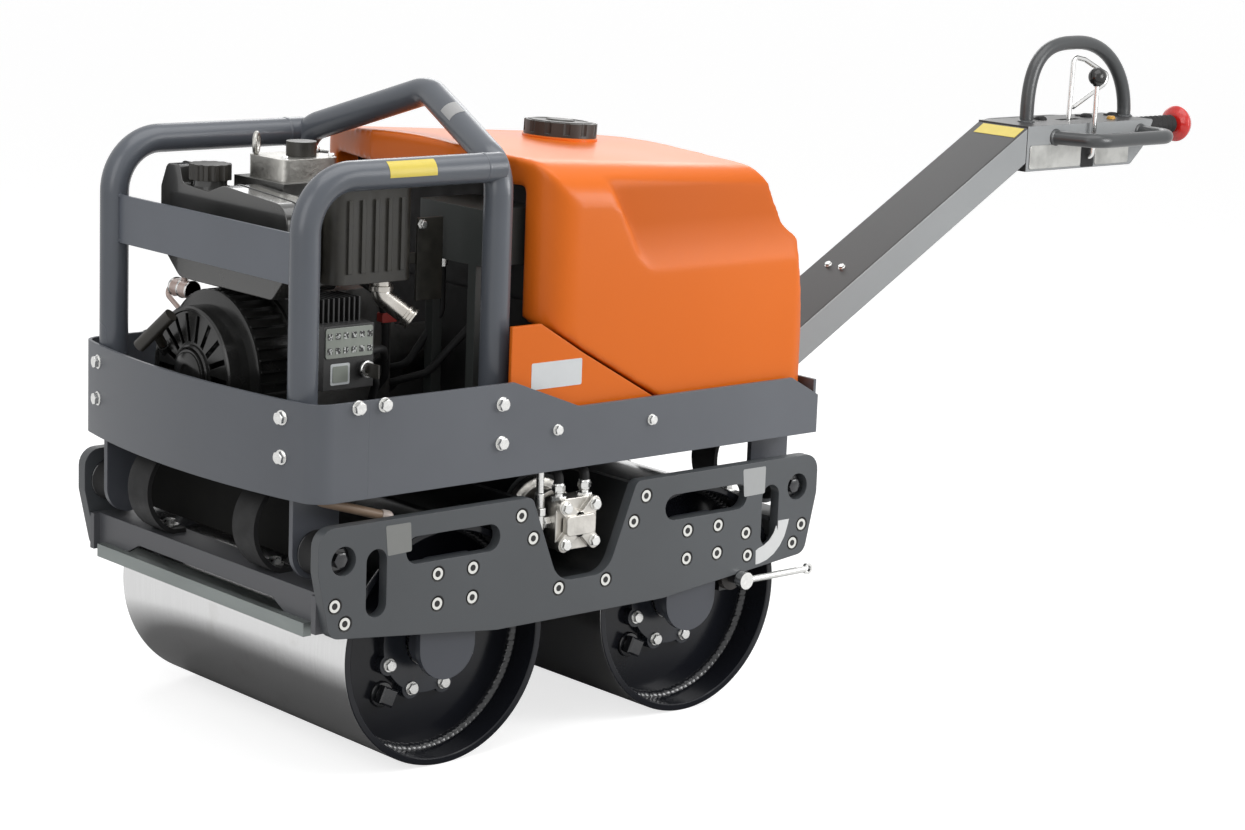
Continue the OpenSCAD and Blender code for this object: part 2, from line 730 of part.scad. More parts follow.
// Rubber mounts and the leg brackets that hang on them
mount_l = 55;
leg_out = plate_in - mount_l;
leg_in = leg_out - leg_t;
mount_disc_t = 4;
mount_waist = 6;
stud_r = 19;
stud_h = 6;
nut_d = 30;
nut_h = 9;
leg_flange_w = 50;
leg_flange_t = 8;
module rubber_mount() {
    l = mount_l;
    translate([access_x, -leg_out, access_z]) rotate([90, 0, 0]) {
        rotate_extrude() polygon([[0, 0], [mount_d / 2, 0], [mount_d / 2, mount_disc_t],
            [mount_d / 2 - mount_waist, l / 2], [mount_d / 2, l - mount_disc_t], [mount_d / 2, l], [0, l]]);
        translate([0, 0, l]) cylinder(r = stud_r, h = stud_h);
        translate([0, 0, l + stud_h]) cylinder(d = nut_d, h = nut_h, $fn = 6);
    }
}
module rubber_mounts() color(dark_black) translate([frame_x, 0, 0])
    both_sides() both_ends() rubber_mount();
module leg_bracket() {
    along_y(-leg_out, -leg_in) translate([access_x, access_z]) {
        circle(d = leg_w);
        translate([-leg_w / 2, 0]) square([leg_w, deck_low - access_z]);
    }
    block(access_x - leg_w / 2, access_x + leg_w / 2, -leg_in, -leg_in + leg_flange_w,
        deck_low - leg_flange_t, deck_low);
}
module leg_brackets() color(dark_black) translate([frame_x, 0, 0])
    both_sides() both_ends() leg_bracket();

// Parking brake: a bracket inside the left side plate and a lever with its dog
brake_back = 96;
brake_rise = 26;
brake_x = axle_x + brake_back;
brake_z = axle_z + brake_rise;
brake_shaft_r = 10;
brake_boss_r = 24;
brake_pad_r = 18;
brake_arm_gap = 12;
brake_arm_y = plate_out + brake_arm_gap;
brake_hub_r = 15;
brake_hub_gap = 2;
brake_rod_r = 6;
brake_rod_l = 145;
brake_eye_r = 10;
dog_gap = 6;
dog_t = 16;
dog_l = 28;
dog_w = 26;
module link_2d(a, b, r) {
    translate(a) circle(r = r);
    translate(b) circle(r = r);
    translate(a) rotate(atan2(b.y - a.y, b.x - a.x)) translate([0, -r]) square([norm(b - a), 2 * r]);
}
module brake_bracket() color(dark_black) translate([frame_x, 0, 0]) difference() {
    along_y(-plate_in, -flange_in) {
        for (b = brake_bolts) link_2d([brake_x, brake_z], [b.x, axle_z + b.y], brake_pad_r);
        translate([brake_x, brake_z]) circle(r = brake_boss_r);
    }
    disc_y(brake_shaft_r + fit, -plate_in - over, -flange_in + over, brake_x, brake_z);
    for (b = brake_bolts)
        disc_y(frame_bolt_d / 2 + fit, -plate_in - over, -flange_in + over, b.x, axle_z + b.y);
}
module brake_lever() color(bare_steel) translate([frame_x, 0, 0]) {
    dog_out = flange_in - dog_gap;
    disc_y(brake_shaft_r, -plate_out - brake_hub_gap, -dog_out + dog_t, brake_x, brake_z);
    disc_y(brake_hub_r, -brake_arm_y - brake_rod_r, -plate_out - brake_hub_gap, brake_x, brake_z);
    bar([brake_x, -brake_arm_y, brake_z], [brake_x + brake_rod_l, -brake_arm_y, brake_z], brake_rod_r);
    ring_y(brake_eye_r, brake_rod_r, -brake_arm_y - brake_rod_r / 2, -brake_arm_y + brake_rod_r / 2,
        brake_x + brake_rod_l + brake_eye_r - brake_rod_r / 2, brake_z);
    block(brake_x - dog_w / 2, brake_x + dog_w / 2, -dog_out, -dog_out + dog_t, brake_z - dog_l, brake_z);
}

// Deck, skirts, bumper and rear panel
seam_x = 440;
deck_rear = 525;
panel_x = 534;
bow_half = 300;
skirt_drop = 12;
skirt_low = deck_top - skirt_drop;
skirt_rear = panel_x + skirt_t;
skirt_top = deck_top + skirt_h;
skirt_front_top = deck_top + skirt_front_h;
skirt_step_x0 = -150;
skirt_step_x1 = -11;
skirt_chamfer_x = 65;
skirt_chamfer_z = 36;
bow_steps = 16;
function bow_x(y, i) = -bumper_x + i + bumper_bow * pow(y / bow_half, 2);
function bumper_points(i) =
    let (h = skirt_out - i, flat = skirt_out - bumper_r)
    concat([[-seam_x, -h], [bow_x(h, i), -h]],
        [for (k = [1 : bow_steps - 1]) let (y = -flat + 2 * flat * k / bow_steps) [bow_x(y, i), y]],
        [[bow_x(h, i), h], [-seam_x, h]]);
function bumper_radii(i) = concat([0, bumper_r - i], [for (k = [1 : bow_steps - 1]) 0], [bumper_r - i, 0]);
module bumper_2d(i) polygon(round_corners(bumper_points(i), bumper_radii(i)));
module deck() color(steel_grey) translate([frame_x, 0, 0]) {
    translate([0, 0, deck_low]) linear_extrude(deck_t) bumper_2d(skirt_t);
    block(-seam_x, deck_rear, -skirt_in, skirt_in, deck_low, deck_top);
}
module side_skirt() {
    along_y(-skirt_out, -skirt_in) polygon([[-seam_x, skirt_low], [skirt_rear, skirt_low],
        [skirt_rear, skirt_top - skirt_chamfer_z], [skirt_rear - skirt_chamfer_x, skirt_top],
        [skirt_step_x1, skirt_top], [skirt_step_x0, skirt_front_top], [-seam_x, skirt_front_top]]);
}
module side_skirts() color(steel_grey) translate([frame_x, 0, 0]) both_sides() side_skirt();
module front_bumper() color(steel_grey) translate([frame_x, 0, skirt_low])
    linear_extrude(skirt_front_top - skirt_low) difference() {
        bumper_2d(0);
        bumper_2d(skirt_t);
    }
panel_drop = 10;
panel_h = 92;
panel_low = deck_top - panel_drop;
panel_top = panel_low + panel_h;
module rear_panel() color(steel_grey) translate([frame_x, 0, 0]) {
    block(panel_x, panel_x + skirt_t, -skirt_in, skirt_in, panel_low, panel_top);
    block(deck_rear, panel_x, -skirt_in, skirt_in, deck_low, deck_top - air);
}

// Bolts of the skirts and of the bumper
skirt_bolt_d = 21;
skirt_bolt_h = 9;
skirt_bolt_small_d = 17;
bumper_bolt_y = 266;
// Places as shares of the skirt's length ahead of its rear end, and of its height at the front
skirt_bolt_shares = [[0.97, 0.94], [0.73, 0.79], [0.73, 0.38]];
skirt_small_bolt_shares = [[0.61, 0.44], [0.40, 0.41]];
bumper_bolt_shares = [0.82, 0.42];
module skirt_bolt(x, z, d) translate([x, -skirt_out, z]) rotate([90, 0, 0]) {
    cylinder(d = d, h = skirt_bolt_h / 3);
    translate([0, 0, skirt_bolt_h / 3]) cylinder(d = 0.85 * d, h = skirt_bolt_h * 2 / 3, $fn = 6);
}
module skirt_bolts() color(bare_steel) translate([frame_x, 0, 0]) {
    run = skirt_rear + seam_x;
    rise = skirt_front_top - skirt_low;
    both_sides() {
        for (s = skirt_bolt_shares)
            skirt_bolt(skirt_rear - s.x * run, skirt_low + s.y * rise, skirt_bolt_d);
        for (s = skirt_small_bolt_shares)
            skirt_bolt(skirt_rear - s.x * run, skirt_low + s.y * rise, skirt_bolt_small_d);
        skirt_bolt(-seam_x - skirt_bolt_d, skirt_low + skirt_bolt_shares[0].y * rise, skirt_bolt_d);
        for (s = bumper_bolt_shares)
            translate([bow_x(bumper_bolt_y, 0), -bumper_bolt_y, skirt_low + s * rise])
                rotate([0, 0, -90 + atan(2 * bumper_bow * bumper_bolt_y / pow(bow_half, 2))])
                    translate([0, skirt_out, 0]) skirt_bolt(0, 0, skirt_bolt_d);
    }
}

// Cage: a rear hoop with a roof peak, two front posts with rails, and their foot plates
post_x = 518;
hoop_x = 141;
rail_z = deck_top + rail_rise;
peak_x = peak_lean - hoop_x;
peak_z = deck_top + peak_rise;
front_bend_r = 85;
hoop_bend_r = 60;
foot_l = 92;
foot_w = 60;
foot_t = 8;
cage_y = cage_w / 2;
foot_x_in = 33;
hoop_points = [[-hoop_x, -cage_y, deck_top + foot_t], [-hoop_x, -cage_y, rail_z], [peak_x, 0, peak_z],
    [-hoop_x, cage_y, rail_z], [-hoop_x, cage_y, deck_top + foot_t]];
module cage() color(steel_grey) translate([frame_x, 0, 0]) {
    bent_bar(hoop_points, hoop_bend_r, cage_tube / 2, cage_wall);
    difference() {
        both_sides() bent_bar([[-post_x, -cage_y, deck_top + foot_t], [-post_x, -cage_y, rail_z],
            [-hoop_x, -cage_y, rail_z]], front_bend_r, cage_tube / 2, cage_wall);
        bent_bar(hoop_points, hoop_bend_r, cage_tube / 2 + seam);
    }
    both_sides() for (x = [-post_x + foot_x_in, -hoop_x])
        block(x - foot_l / 2, x + foot_l / 2, -cage_y - foot_w / 2, -cage_y + foot_w / 2,
            deck_top, deck_top + foot_t);
}
guard_rise = 317;
guard_low = deck_top + guard_rise;
guard_t = 6;
module cage_front_plate() color(steel_grey) translate([frame_x, 0, 0]) {
    half = cage_y - cage_tube / 2;
    block(-post_x - guard_t, -post_x, -half, half, guard_low, guard_low + guard_h);
}

// Water tank: side, plan and cross profiles meet; the filler stands square to its falling top
tank_x0 = -112;
tank_x1 = 527;
tank_fall = 3.6;
tank_shares = [[1, 0], [1, 0.241], [0.936, 0.645], [0.876, 0.734], [0.793, 0.95], [0, 1.02],
    [0, 0.471], [0.044, 0.463], [0.188, 0.353], [0.435, 0.179], [0.613, 0]];
tank_radii = [0, 150, 30, 10, 25, 0, 0, 0, 0, 0, 0];
tank_plan_shares = [[0, 0.338], [0.081, 1], [1, 1]];
tank_plan_radii = [20, 60, 40];
tank_crown = 19;
tank_crown_r = 1500;
tank_shoulder_r = 70;
filler_x = 213;
filler_z = deck_top + tank_h - (filler_x - tank_x0) * tan(tank_fall);
hood_x = -30;
hood_y = 260;
hood_rise = 447;
hood_z = deck_top + hood_rise;
recess_ridge_shares = [[0.232, 0.97], [0.365, 0.639], [0.418, 0.584]];
recess_lean = 8.6;
neck_r = 52;
neck_wall = 6;
neck_rise = 14;
tank_l = tank_x1 - tank_x0;
function tank_point(s, i) = [tank_x0 + s.x * tank_l + (s.x < 0.7 ? i : -i),
    deck_top + s.y * tank_h + (s.y < 0.6 ? (s.x < 0.7 || s.y == 0 ? i : 0) : -i)];
module at_filler() translate([filler_x, 0, filler_z]) rotate([0, tank_fall, 0]) children();
module tank_block(i) {
    half = tank_w / 2 - i;
    plan = [for (s = tank_plan_shares) [tank_x0 + s.x * tank_l + (s.x < 0.7 ? i : -i), s.y * tank_w / 2 - i]];
    difference() {
        intersection() {
            along_y(-tank_w, tank_w)
                polygon(round_corners([for (s = tank_shares) tank_point(s, i)], tank_radii));
            translate([0, 0, deck_low]) linear_extrude(tank_h + 2 * tank_crown)
                polygon(round_corners(concat(plan, [for (k = [2 : -1 : 0]) [plan[k].x, -plan[k].y]]),
                    concat(tank_plan_radii, [for (k = [2 : -1 : 0]) tank_plan_radii[k]])));
            at_filler() along_x(-tank_l, tank_l)
                polygon(round_corners([[-half, -tank_h - tank_l], [half, -tank_h - tank_l],
                    [half, -tank_crown - i], [0, -i], [-half, -tank_crown - i]],
                    [0, 0, tank_shoulder_r - i, tank_crown_r, tank_shoulder_r - i]));
        }
        block(tank_x0 - over, hood_x + i, -hood_y - i, hood_y + i, deck_low, hood_z + i);
        both_sides() side_recess(i);
    }
}
module side_recess(i) {
    ridge = [for (s = recess_ridge_shares) [tank_x0 + s.x * tank_l - i, deck_top + s.y * tank_h - i]];
    foot = ridge[2];
    translate([0, -tank_w / 2 + i, foot.y]) rotate([recess_lean * -1, 0, 0]) translate([0, 0, -foot.y])
        along_y(-tank_w, 0) polygon(concat(ridge, [[tank_x1 + over, foot.y],
            [tank_x1 + over, foot.y + tank_h], [ridge[0].x, foot.y + tank_h]]));
}
module water_tank() color(tank_orange) translate([frame_x, 0, 0]) difference() {
    union() {
        tank_block(0);
        at_filler() translate([0, 0, -tank_wall]) cylinder(r = neck_r, h = tank_wall + neck_rise);
    }
    tank_block(tank_wall);
    at_filler() translate([0, 0, -2 * tank_wall]) cylinder(r = neck_r - neck_wall, h = 2 * tank_wall + neck_rise + over);
}
cap_top_t = 6;
cap_grips = 12;
cap_grip_r = 7;
module tank_cap() color(dark_black) translate([frame_x, 0, 0]) at_filler() difference() {
    translate([0, 0, over]) cylinder(d = tank_cap_d, h = tank_cap_h);
    translate([0, 0, 0]) cylinder(r = neck_r + air, h = neck_rise + air);
    for (k = [0 : cap_grips - 1]) rotate(360 / cap_grips * k)
        translate([tank_cap_d / 2 + cap_grip_r / 2, 0, cap_top_t]) cylinder(r = cap_grip_r, h = tank_cap_h);
}
cover_front_x = -147;
cover_gap = 4;
module side_cover() {
    low = deck_top + air;
    seam = [for (k = [10 : -1 : 7]) tank_point(tank_shares[k], 0) - [cover_gap / 2, cover_gap]];
    along_y(-tank_w / 2, -tank_w / 2 + tank_wall)
        polygon(concat([[cover_front_x, low], [seam[0].x, low]], [for (k = [1 : 3]) seam[k]],
            [[cover_front_x, seam[3].y]]));
}
module side_covers() color(tank_orange) translate([frame_x, 0, 0]) both_sides() side_cover();

// Hydraulic tank on its stand, battery and pump
hyd_x0 = -146;
hyd_x1 = -36;
hyd_gap = 2;
hyd_y0 = -cage_y + cage_tube / 2 + hyd_gap;
hyd_y1 = -75;
hyd_rise = 317;
hyd_h = 93;
hyd_z0 = deck_top + hyd_rise;
hyd_z1 = hyd_z0 + hyd_h;
stand_w = 20;
module hydraulic_tank() color(cast_grey) translate([frame_x, 0, 0]) {
    block(hyd_x0, hyd_x1, hyd_y0, hyd_y1, hyd_z0, hyd_z1);
    for (y = [hyd_y0 + stand_w, hyd_y1 - 2 * stand_w])
        block(hyd_x0, hyd_x0 + stand_w, y, y + stand_w, deck_top, hyd_z0);
}
battery_x0 = -38;
battery_l = 165;
battery_y0 = 60;
battery_w = 175;
battery_h = 105;
terminal_r = 8;
terminal_h = 12;
module battery() color(dark_black) translate([frame_x, 0, 0]) {
    block(battery_x0, battery_x0 + battery_l, battery_y0, battery_y0 + battery_w, deck_top,
        deck_top + battery_h);
    for (y = [0.2, 0.8])
        disc_z(terminal_r, deck_top + battery_h, deck_top + battery_h + terminal_h,
            battery_x0 + battery_l / 5, battery_y0 + y * battery_w);
}

// Engine: the crankshaft lies along the machine, with the fan in front and the pump behind
crank_y = 32;
crank_z = deck_top + crank_rise;
crank_r = 15;
fan_x0 = -480;
fan_x1 = -400;
fan_wall = 4;
block_x1 = -200;
block_half = 105;
block_rise = 267;
block_top = deck_top + block_rise;
rail_h = 20;
engine_rail_w = 40;
bell_x1 = -150;
bell_r = 70;
bell_wall = 6;
pump_x1 = -42;
pump_r = 45;
module ring_x(r_out, r_in, x0, x1, y, z) difference() {
    disc_x(r_out, x0, x1, y, z);
    disc_x(r_in, x0 - over, x1 + over, y, z);
}
module hydraulic_pump() color(cast_grey) translate([frame_x, 0, 0]) {
    ring_x(bell_r, bell_r - bell_wall, block_x1, bell_x1, crank_y, crank_z);
    disc_x(bell_r, bell_x1, bell_x1 + bell_wall, crank_y, crank_z);
    disc_x(pump_r, bell_x1 + bell_wall, pump_x1, crank_y, crank_z);
}
module engine_block() color(dark_black) translate([frame_x, 0, 0]) {
    difference() {
        block(fan_x1, block_x1, crank_y - block_half, crank_y + block_half, deck_top + rail_h, block_top);
        disc_x(crank_r + fit, fan_x1 - over, block_x1 + over, crank_y, crank_z);
    }
    for (y = [crank_y - block_half, crank_y + block_half - engine_rail_w])
        block(fan_x1, block_x1, y, y + engine_rail_w, deck_top, deck_top + rail_h);
}
fly_r = 112;
fly_gap = 12;
fly_web = 14;
fly_x0 = fan_x0 + fly_web;
fly_x1 = fan_x1 - fly_gap;
fly_rim = 20;
coupling_r = 45;
coupling_gap = 4;
module flywheel() color(bare_steel) translate([frame_x, 0, 0]) {
    disc_x(crank_r, fan_x0 + fan_wall, bell_x1 - coupling_gap, crank_y, crank_z);
    disc_x(fly_r, fly_x1 - fly_web, fly_x1, crank_y, crank_z);
    ring_x(fly_r, fly_r - fly_rim, fly_x0, fly_x1 - fly_web, crank_y, crank_z);
    disc_x(coupling_r, block_x1 + coupling_gap, bell_x1 - coupling_gap, crank_y, crank_z);
}
module fan_housing() color(dark_black) translate([frame_x, 0, 0]) difference() {
    disc_x(fan_d / 2, fan_x0, fan_x1, crank_y, crank_z);
    disc_x(fan_d / 2 - fan_wall, fan_x0 + fan_wall, fan_x1 - fan_wall, crank_y, crank_z);
    disc_x(starter_d / 2 - 2 * fan_wall, fan_x0 - over, fan_x0 + fan_wall + over, crank_y, crank_z);
    disc_x(crank_r + coupling_gap, fan_x1 - fan_wall - over, fan_x1 + over, crank_y, crank_z);
}

// Recoil starter: a slotted cover with the rope's outlet, and the handle on its rope
starter_deep = 40;
starter_x0 = fan_x0 - starter_deep;
starter_wall = 3;
starter_hub_r = 40;
starter_hub_h = 8;
vent_count = 18;
vent_w = 9;
vent_in = 52;
vent_edge = 12;
outlet_ahead = 25;
outlet_side = 91;
outlet_up = 12;
outlet = [fan_x0 - outlet_ahead, crank_y + outlet_side, crank_z + outlet_up];
pull_dir = unit([-0.62, -0.43, 0.66]);
outlet_start = 16;
outlet_end = 36;
outlet_r = 9;
rope_r = 2.5;
rope_bore = 3.5;
handle_place = 80;
grip_half = 42;
grip_r = 11;
stem_l = 40;
stem_r = 8;
rope_start = 26;
across = unit([-0.287, 0.660, -0.694]);
module starter_cover() color(dark_black) translate([frame_x, 0, 0]) difference() {
    union() {
        difference() {
            disc_x(starter_d / 2, starter_x0, fan_x0, crank_y, crank_z);
            disc_x(starter_d / 2 - starter_wall, starter_x0 + starter_wall, fan_x0 + over, crank_y, crank_z);
        }
        disc_x(starter_hub_r, starter_x0 - starter_hub_h, starter_x0, crank_y, crank_z);
        bar(outlet + pull_dir * outlet_start, outlet + pull_dir * outlet_end, outlet_r);
    }
    bar(outlet, outlet + pull_dir * (outlet_end + over), rope_bore);
    for (k = [0 : vent_count - 1])
        translate([starter_x0, crank_y, crank_z]) rotate([360 / vent_count * k, 0, 0])
            block(-over, starter_wall + over, vent_in, starter_d / 2 - vent_edge, -vent_w / 2, vent_w / 2);
}
module starter_handle() color(dark_black) translate([frame_x, 0, 0]) {
    centre = outlet + pull_dir * handle_place;
    bar(centre - across * grip_half, centre + across * grip_half, grip_r);
    bar(centre - pull_dir * stem_l, centre, stem_r);
    bar(outlet + pull_dir * rope_start, centre - pull_dir * stem_l, rope_r);
}

// Fuel tank over the fan, its cap, and the cylinder with its head cover
fuel_x0 = -470;
fuel_x1 = -402;
fuel_gap = 2;
fuel_low = block_top + fuel_gap;
fuel_h = 146;
fuel_y0 = -156;
fuel_w = 363;
fuel_shares = [[0, 0.3], [0.11, 0], [0.84, 0], [1, 0.34], [1, 0.98], [0.94, 1.28], [0.88, 1.28],
    [0.88, 1], [0.62, 0.92], [0.5, 1.1], [0, 1.1]];
fuel_radii = [16, 16, 30, 20, 10, 10, 4, 12, 10, 16, 30];
fuel_side_x1 = -330;
fuel_side_gap = 6;
fuel_side_y1 = -46;
fuel_neck_r = 28;
fuel_cap_x = -436;
fuel_cap_share = 0.7383;
fuel_cap_y = fuel_y0 + fuel_cap_share * fuel_w;
fuel_cap_rise = 19;
fuel_cap_z = fuel_low + fuel_h + fuel_cap_rise;
fuel_cap_h = 26;
fuel_neck_share = 0.9;
fuel_neck_low = fuel_low + fuel_neck_share * fuel_h;
module fuel_2d() polygon(round_corners([for (s = fuel_shares)
    [fuel_y0 + s.x * fuel_w, fuel_low + s.y * fuel_h]], fuel_radii));
module fuel_tank() color(dark_black) translate([frame_x, 0, 0]) difference() {
    union() {
        along_x(fuel_x0, fuel_x1) fuel_2d();
        along_x(fuel_x1 - over, fuel_side_x1) intersection() {
            fuel_2d();
            translate([muf_y1 + fuel_side_gap, fuel_low - over])
                square([fuel_side_y1 - muf_y1 - fuel_side_gap, 2 * fuel_h]);
        }
        disc_z(fuel_neck_r, fuel_neck_low, fuel_cap_z + fuel_cap_h / 2, fuel_cap_x, fuel_cap_y);
    }
    disc_z(fuel_neck_r - neck_wall, fuel_neck_low, fuel_cap_z + fuel_cap_h, fuel_cap_x, fuel_cap_y);
}
module fuel_cap() color(dark_black) translate([frame_x, 0, 0]) difference() {
    disc_z(fuel_cap_d / 2, fuel_cap_z, fuel_cap_z + fuel_cap_h, fuel_cap_x, fuel_cap_y);
    disc_z(fuel_neck_r + air, fuel_cap_z - over, fuel_cap_z + fuel_cap_h / 2 + air, fuel_cap_x, fuel_cap_y);
    for (k = [0 : cap_grips - 1]) translate([fuel_cap_x, fuel_cap_y, fuel_cap_z]) rotate(360 / cap_grips * k)
        translate([fuel_cap_d / 2 + cap_grip_r / 2, 0, -over]) cylinder(r = cap_grip_r, h = fuel_cap_h + 2 * over);
}
cyl_x0 = -396;
cyl_x1 = -262;
cyl_half = 70;
cyl_r = 58;
cyl_h = 150;
fin_count = 11;
fin_t = 4;
head_t = 24;
cover_x0 = -384;
cover_x1 = -272;
cover_half = 52;
cover_h = 36;
cover_r = 14;
oil_x = -318;
oil_y = 24;
oil_neck_r = 14;
oil_neck_h = 10;
oil_cap_r = 25;
oil_cap_h = 24;
lift_x = -375;
lift_y = 70;
lift_r = 16;
lift_rod = 4;
cyl_top = block_top + cyl_h;
head_top = cyl_top + head_t;
module cylinder_barrel() {
    mid_x = (cyl_x0 + cyl_x1) / 2;
    disc_z(cyl_r, block_top, cyl_top, mid_x, crank_y);
    for (k = [0 : fin_count - 1])
        block(cyl_x0, cyl_x1, crank_y - cyl_half, crank_y + cyl_half,
            block_top + (k + 1) * cyl_h / (fin_count + 1), block_top + (k + 1) * cyl_h / (fin_count + 1) + fin_t);
    block(cyl_x0, cyl_x1, crank_y - cyl_half, crank_y + cyl_half, cyl_top, head_top);
}
module engine_cylinder() color(cast_grey) translate([frame_x, 0, 0]) cylinder_barrel();
module valve_cover() color(cast_grey) translate([frame_x, 0, 0]) {
    translate([0, 0, head_top]) linear_extrude(cover_h)
        polygon(round_corners([[cover_x0, crank_y - cover_half], [cover_x1, crank_y - cover_half],
            [cover_x1, crank_y + cover_half], [cover_x0, crank_y + cover_half]], [for (k = [0 : 3]) cover_r]));
    disc_z(oil_neck_r, head_top + cover_h, head_top + cover_h + oil_neck_h, oil_x, oil_y);
    translate([lift_x, lift_y, head_top + cover_h + lift_r + lift_rod / 2]) rotate([90, 0, 45])
        rotate_extrude() translate([lift_r, 0]) circle(r = lift_rod);
}
module oil_cap() color(dark_black) translate([frame_x, 0, 0]) difference() {
    disc_z(oil_cap_r, head_top + cover_h + air, head_top + cover_h + oil_cap_h, oil_x, oil_y);
    disc_z(oil_neck_r + air, head_top + cover_h, head_top + cover_h + oil_neck_h + air, oil_x, oil_y);
}

// Muffler with its ribs and heat shield, and the exhaust pipe
muf_x0 = -400;
muf_x1 = -245;
muf_y0 = -190;
muf_y1 = -104;
muf_rise = 30;
muf_h = 153;
muf_z0 = block_top + muf_rise;
muf_z1 = muf_z0 + muf_h;
muf_r = 18;
rib_count = 5;
rib_w = 8;
rib_out = 4;
muf_arm_x = -330;
muf_arm_w = 40;
muf_arm_t = 10;
shield_x0 = -212;
shield_x1 = -160;
shield_t = 5;
shield_drop = 43;
shield_h = 136;
shield_low = muf_z0 - shield_drop;
shield_top = shield_low + shield_h;
shield_y = -150;
module muffler() color(dark_black) translate([frame_x, 0, 0]) {
    translate([0, 0, muf_z0]) linear_extrude(muf_z1 - muf_z0) {
        polygon(round_corners([[muf_x0, muf_y0], [muf_x1, muf_y0], [muf_x1, muf_y1], [muf_x0, muf_y1]],
            [for (k = [0 : 3]) muf_r]));
    }
    for (k = [1 : rib_count])
        block(muf_x0 + k * (muf_x1 - muf_x0) / (rib_count + 1) - rib_w / 2,
            muf_x0 + k * (muf_x1 - muf_x0) / (rib_count + 1) + rib_w / 2,
            muf_y0 - rib_out, muf_y0, muf_z0 + muf_r, muf_z1 - muf_r);
    block(muf_arm_x, muf_arm_x + muf_arm_w, muf_y1, crank_y - cyl_half, cyl_top, cyl_top + muf_arm_t);
    block(muf_x1, shield_x1, shield_y, shield_y + shield_t, muf_z0 + muf_r, muf_z0 + 2 * muf_r);
    block(shield_x0, shield_x1, shield_y - shield_t, shield_y, shield_low, shield_top);
}
pipe_wall = 3;
pipe_bend = 20;
pipe_x = -293;
pipe_y = -168;
pipe_drop = 26;
pipe_out = 36;
pipe_a = [pipe_x, pipe_y, muf_z0];
pipe_b = [pipe_x, pipe_y, muf_z0 - pipe_drop];
pipe_c = [pipe_x + pipe_out, pipe_y - pipe_out, muf_z0 - pipe_drop - pipe_out];
module exhaust_pipe() color(bare_steel) translate([frame_x, 0, 0])
    bent_bar([pipe_a, pipe_b, pipe_c], pipe_bend, exhaust_d / 2, pipe_wall);

// Fuel filter under the tank, with its clear hose to the fan housing
filter_x = -462;
filter_y0 = 120;
filter_y1 = 172;
filter_r = 15;
tap_h = 4;
filter_z = fuel_low - filter_r - tap_h;
tap_r = 5;
clear_hose_r = 4.5;
clear_bend = 9;
clear_hose_l = 38;
clear_hose_shares = [[0, 0, 0], [-0.053, 1, -0.21], [-0.158, -0.579, -0.895]];
filter_hose = [for (s = clear_hose_shares) [filter_x, filter_y1, filter_z] + s * clear_hose_l];
module fuel_filter() color([0.85, 0.72, 0.68]) translate([frame_x, 0, 0]) {
    disc_y(filter_r, filter_y0, filter_y1, filter_x, filter_z);
    disc_z(tap_r, filter_z + filter_r - over, fuel_low, filter_x, (filter_y0 + filter_y1) / 2);
    bent_bar(filter_hose, clear_bend, clear_hose_r);
}

// Control box with its finned regulator, and the ignition key
box_x0 = -455;
box_x1 = -358;
box_y0 = -238;
box_y1 = -150;
box_rise = 142;
box_h = 103;
box_z0 = deck_top + box_rise;
box_z1 = box_z0 + box_h;
box_step = 50;
reg_x0 = -450;
reg_x1 = -370;
reg_h = 38;
reg_fins = 9;
reg_fin_t = 3;
lock_r = 13;
lock_h = 10;
key_x = -376;
key_rise = 30;
key_z = box_z0 + key_rise;
arm_x0 = -396;
module control_box() color(dark_black) translate([frame_x, 0, 0]) {
    difference() {
        block(box_x0, box_x1, box_y0, box_y1, box_z0, box_z1);
        block(box_x0 - over, box_x1 + over, box_y0 - over, box_y0 + box_step / 5, box_z1 - over / 2, box_z1 + over);
    }
    ring_y(lock_r, lock_r / 2, box_y0 - lock_h, box_y0, key_x, key_z);
    for (k = [0 : reg_fins - 1])
        block(reg_x0 + k * (reg_x1 - reg_x0) / (reg_fins - 1), reg_x0 + k * (reg_x1 - reg_x0) / (reg_fins - 1) + reg_fin_t,
            box_y0 + box_step / 2, box_y1, box_z1, box_z1 + reg_h);
    block(arm_x0, arm_x0 + 2 * rail_h, box_y1, crank_y - block_half, box_z0 + rail_h, box_z0 + 2 * rail_h);
}
key_w = 22;
key_h = 30;
key_t = 3;
module ignition_key() color(dark_black) translate([frame_x, 0, 0]) {
    disc_y(lock_r / 2 - fit, box_y0 - lock_h - key_t, box_y0 - air, key_x, key_z);
    block(key_x - key_t / 2, key_x + key_t / 2, box_y0 - lock_h - key_h, box_y0 - lock_h - key_t,
        key_z - key_w / 2, key_z + key_w / 2);
}

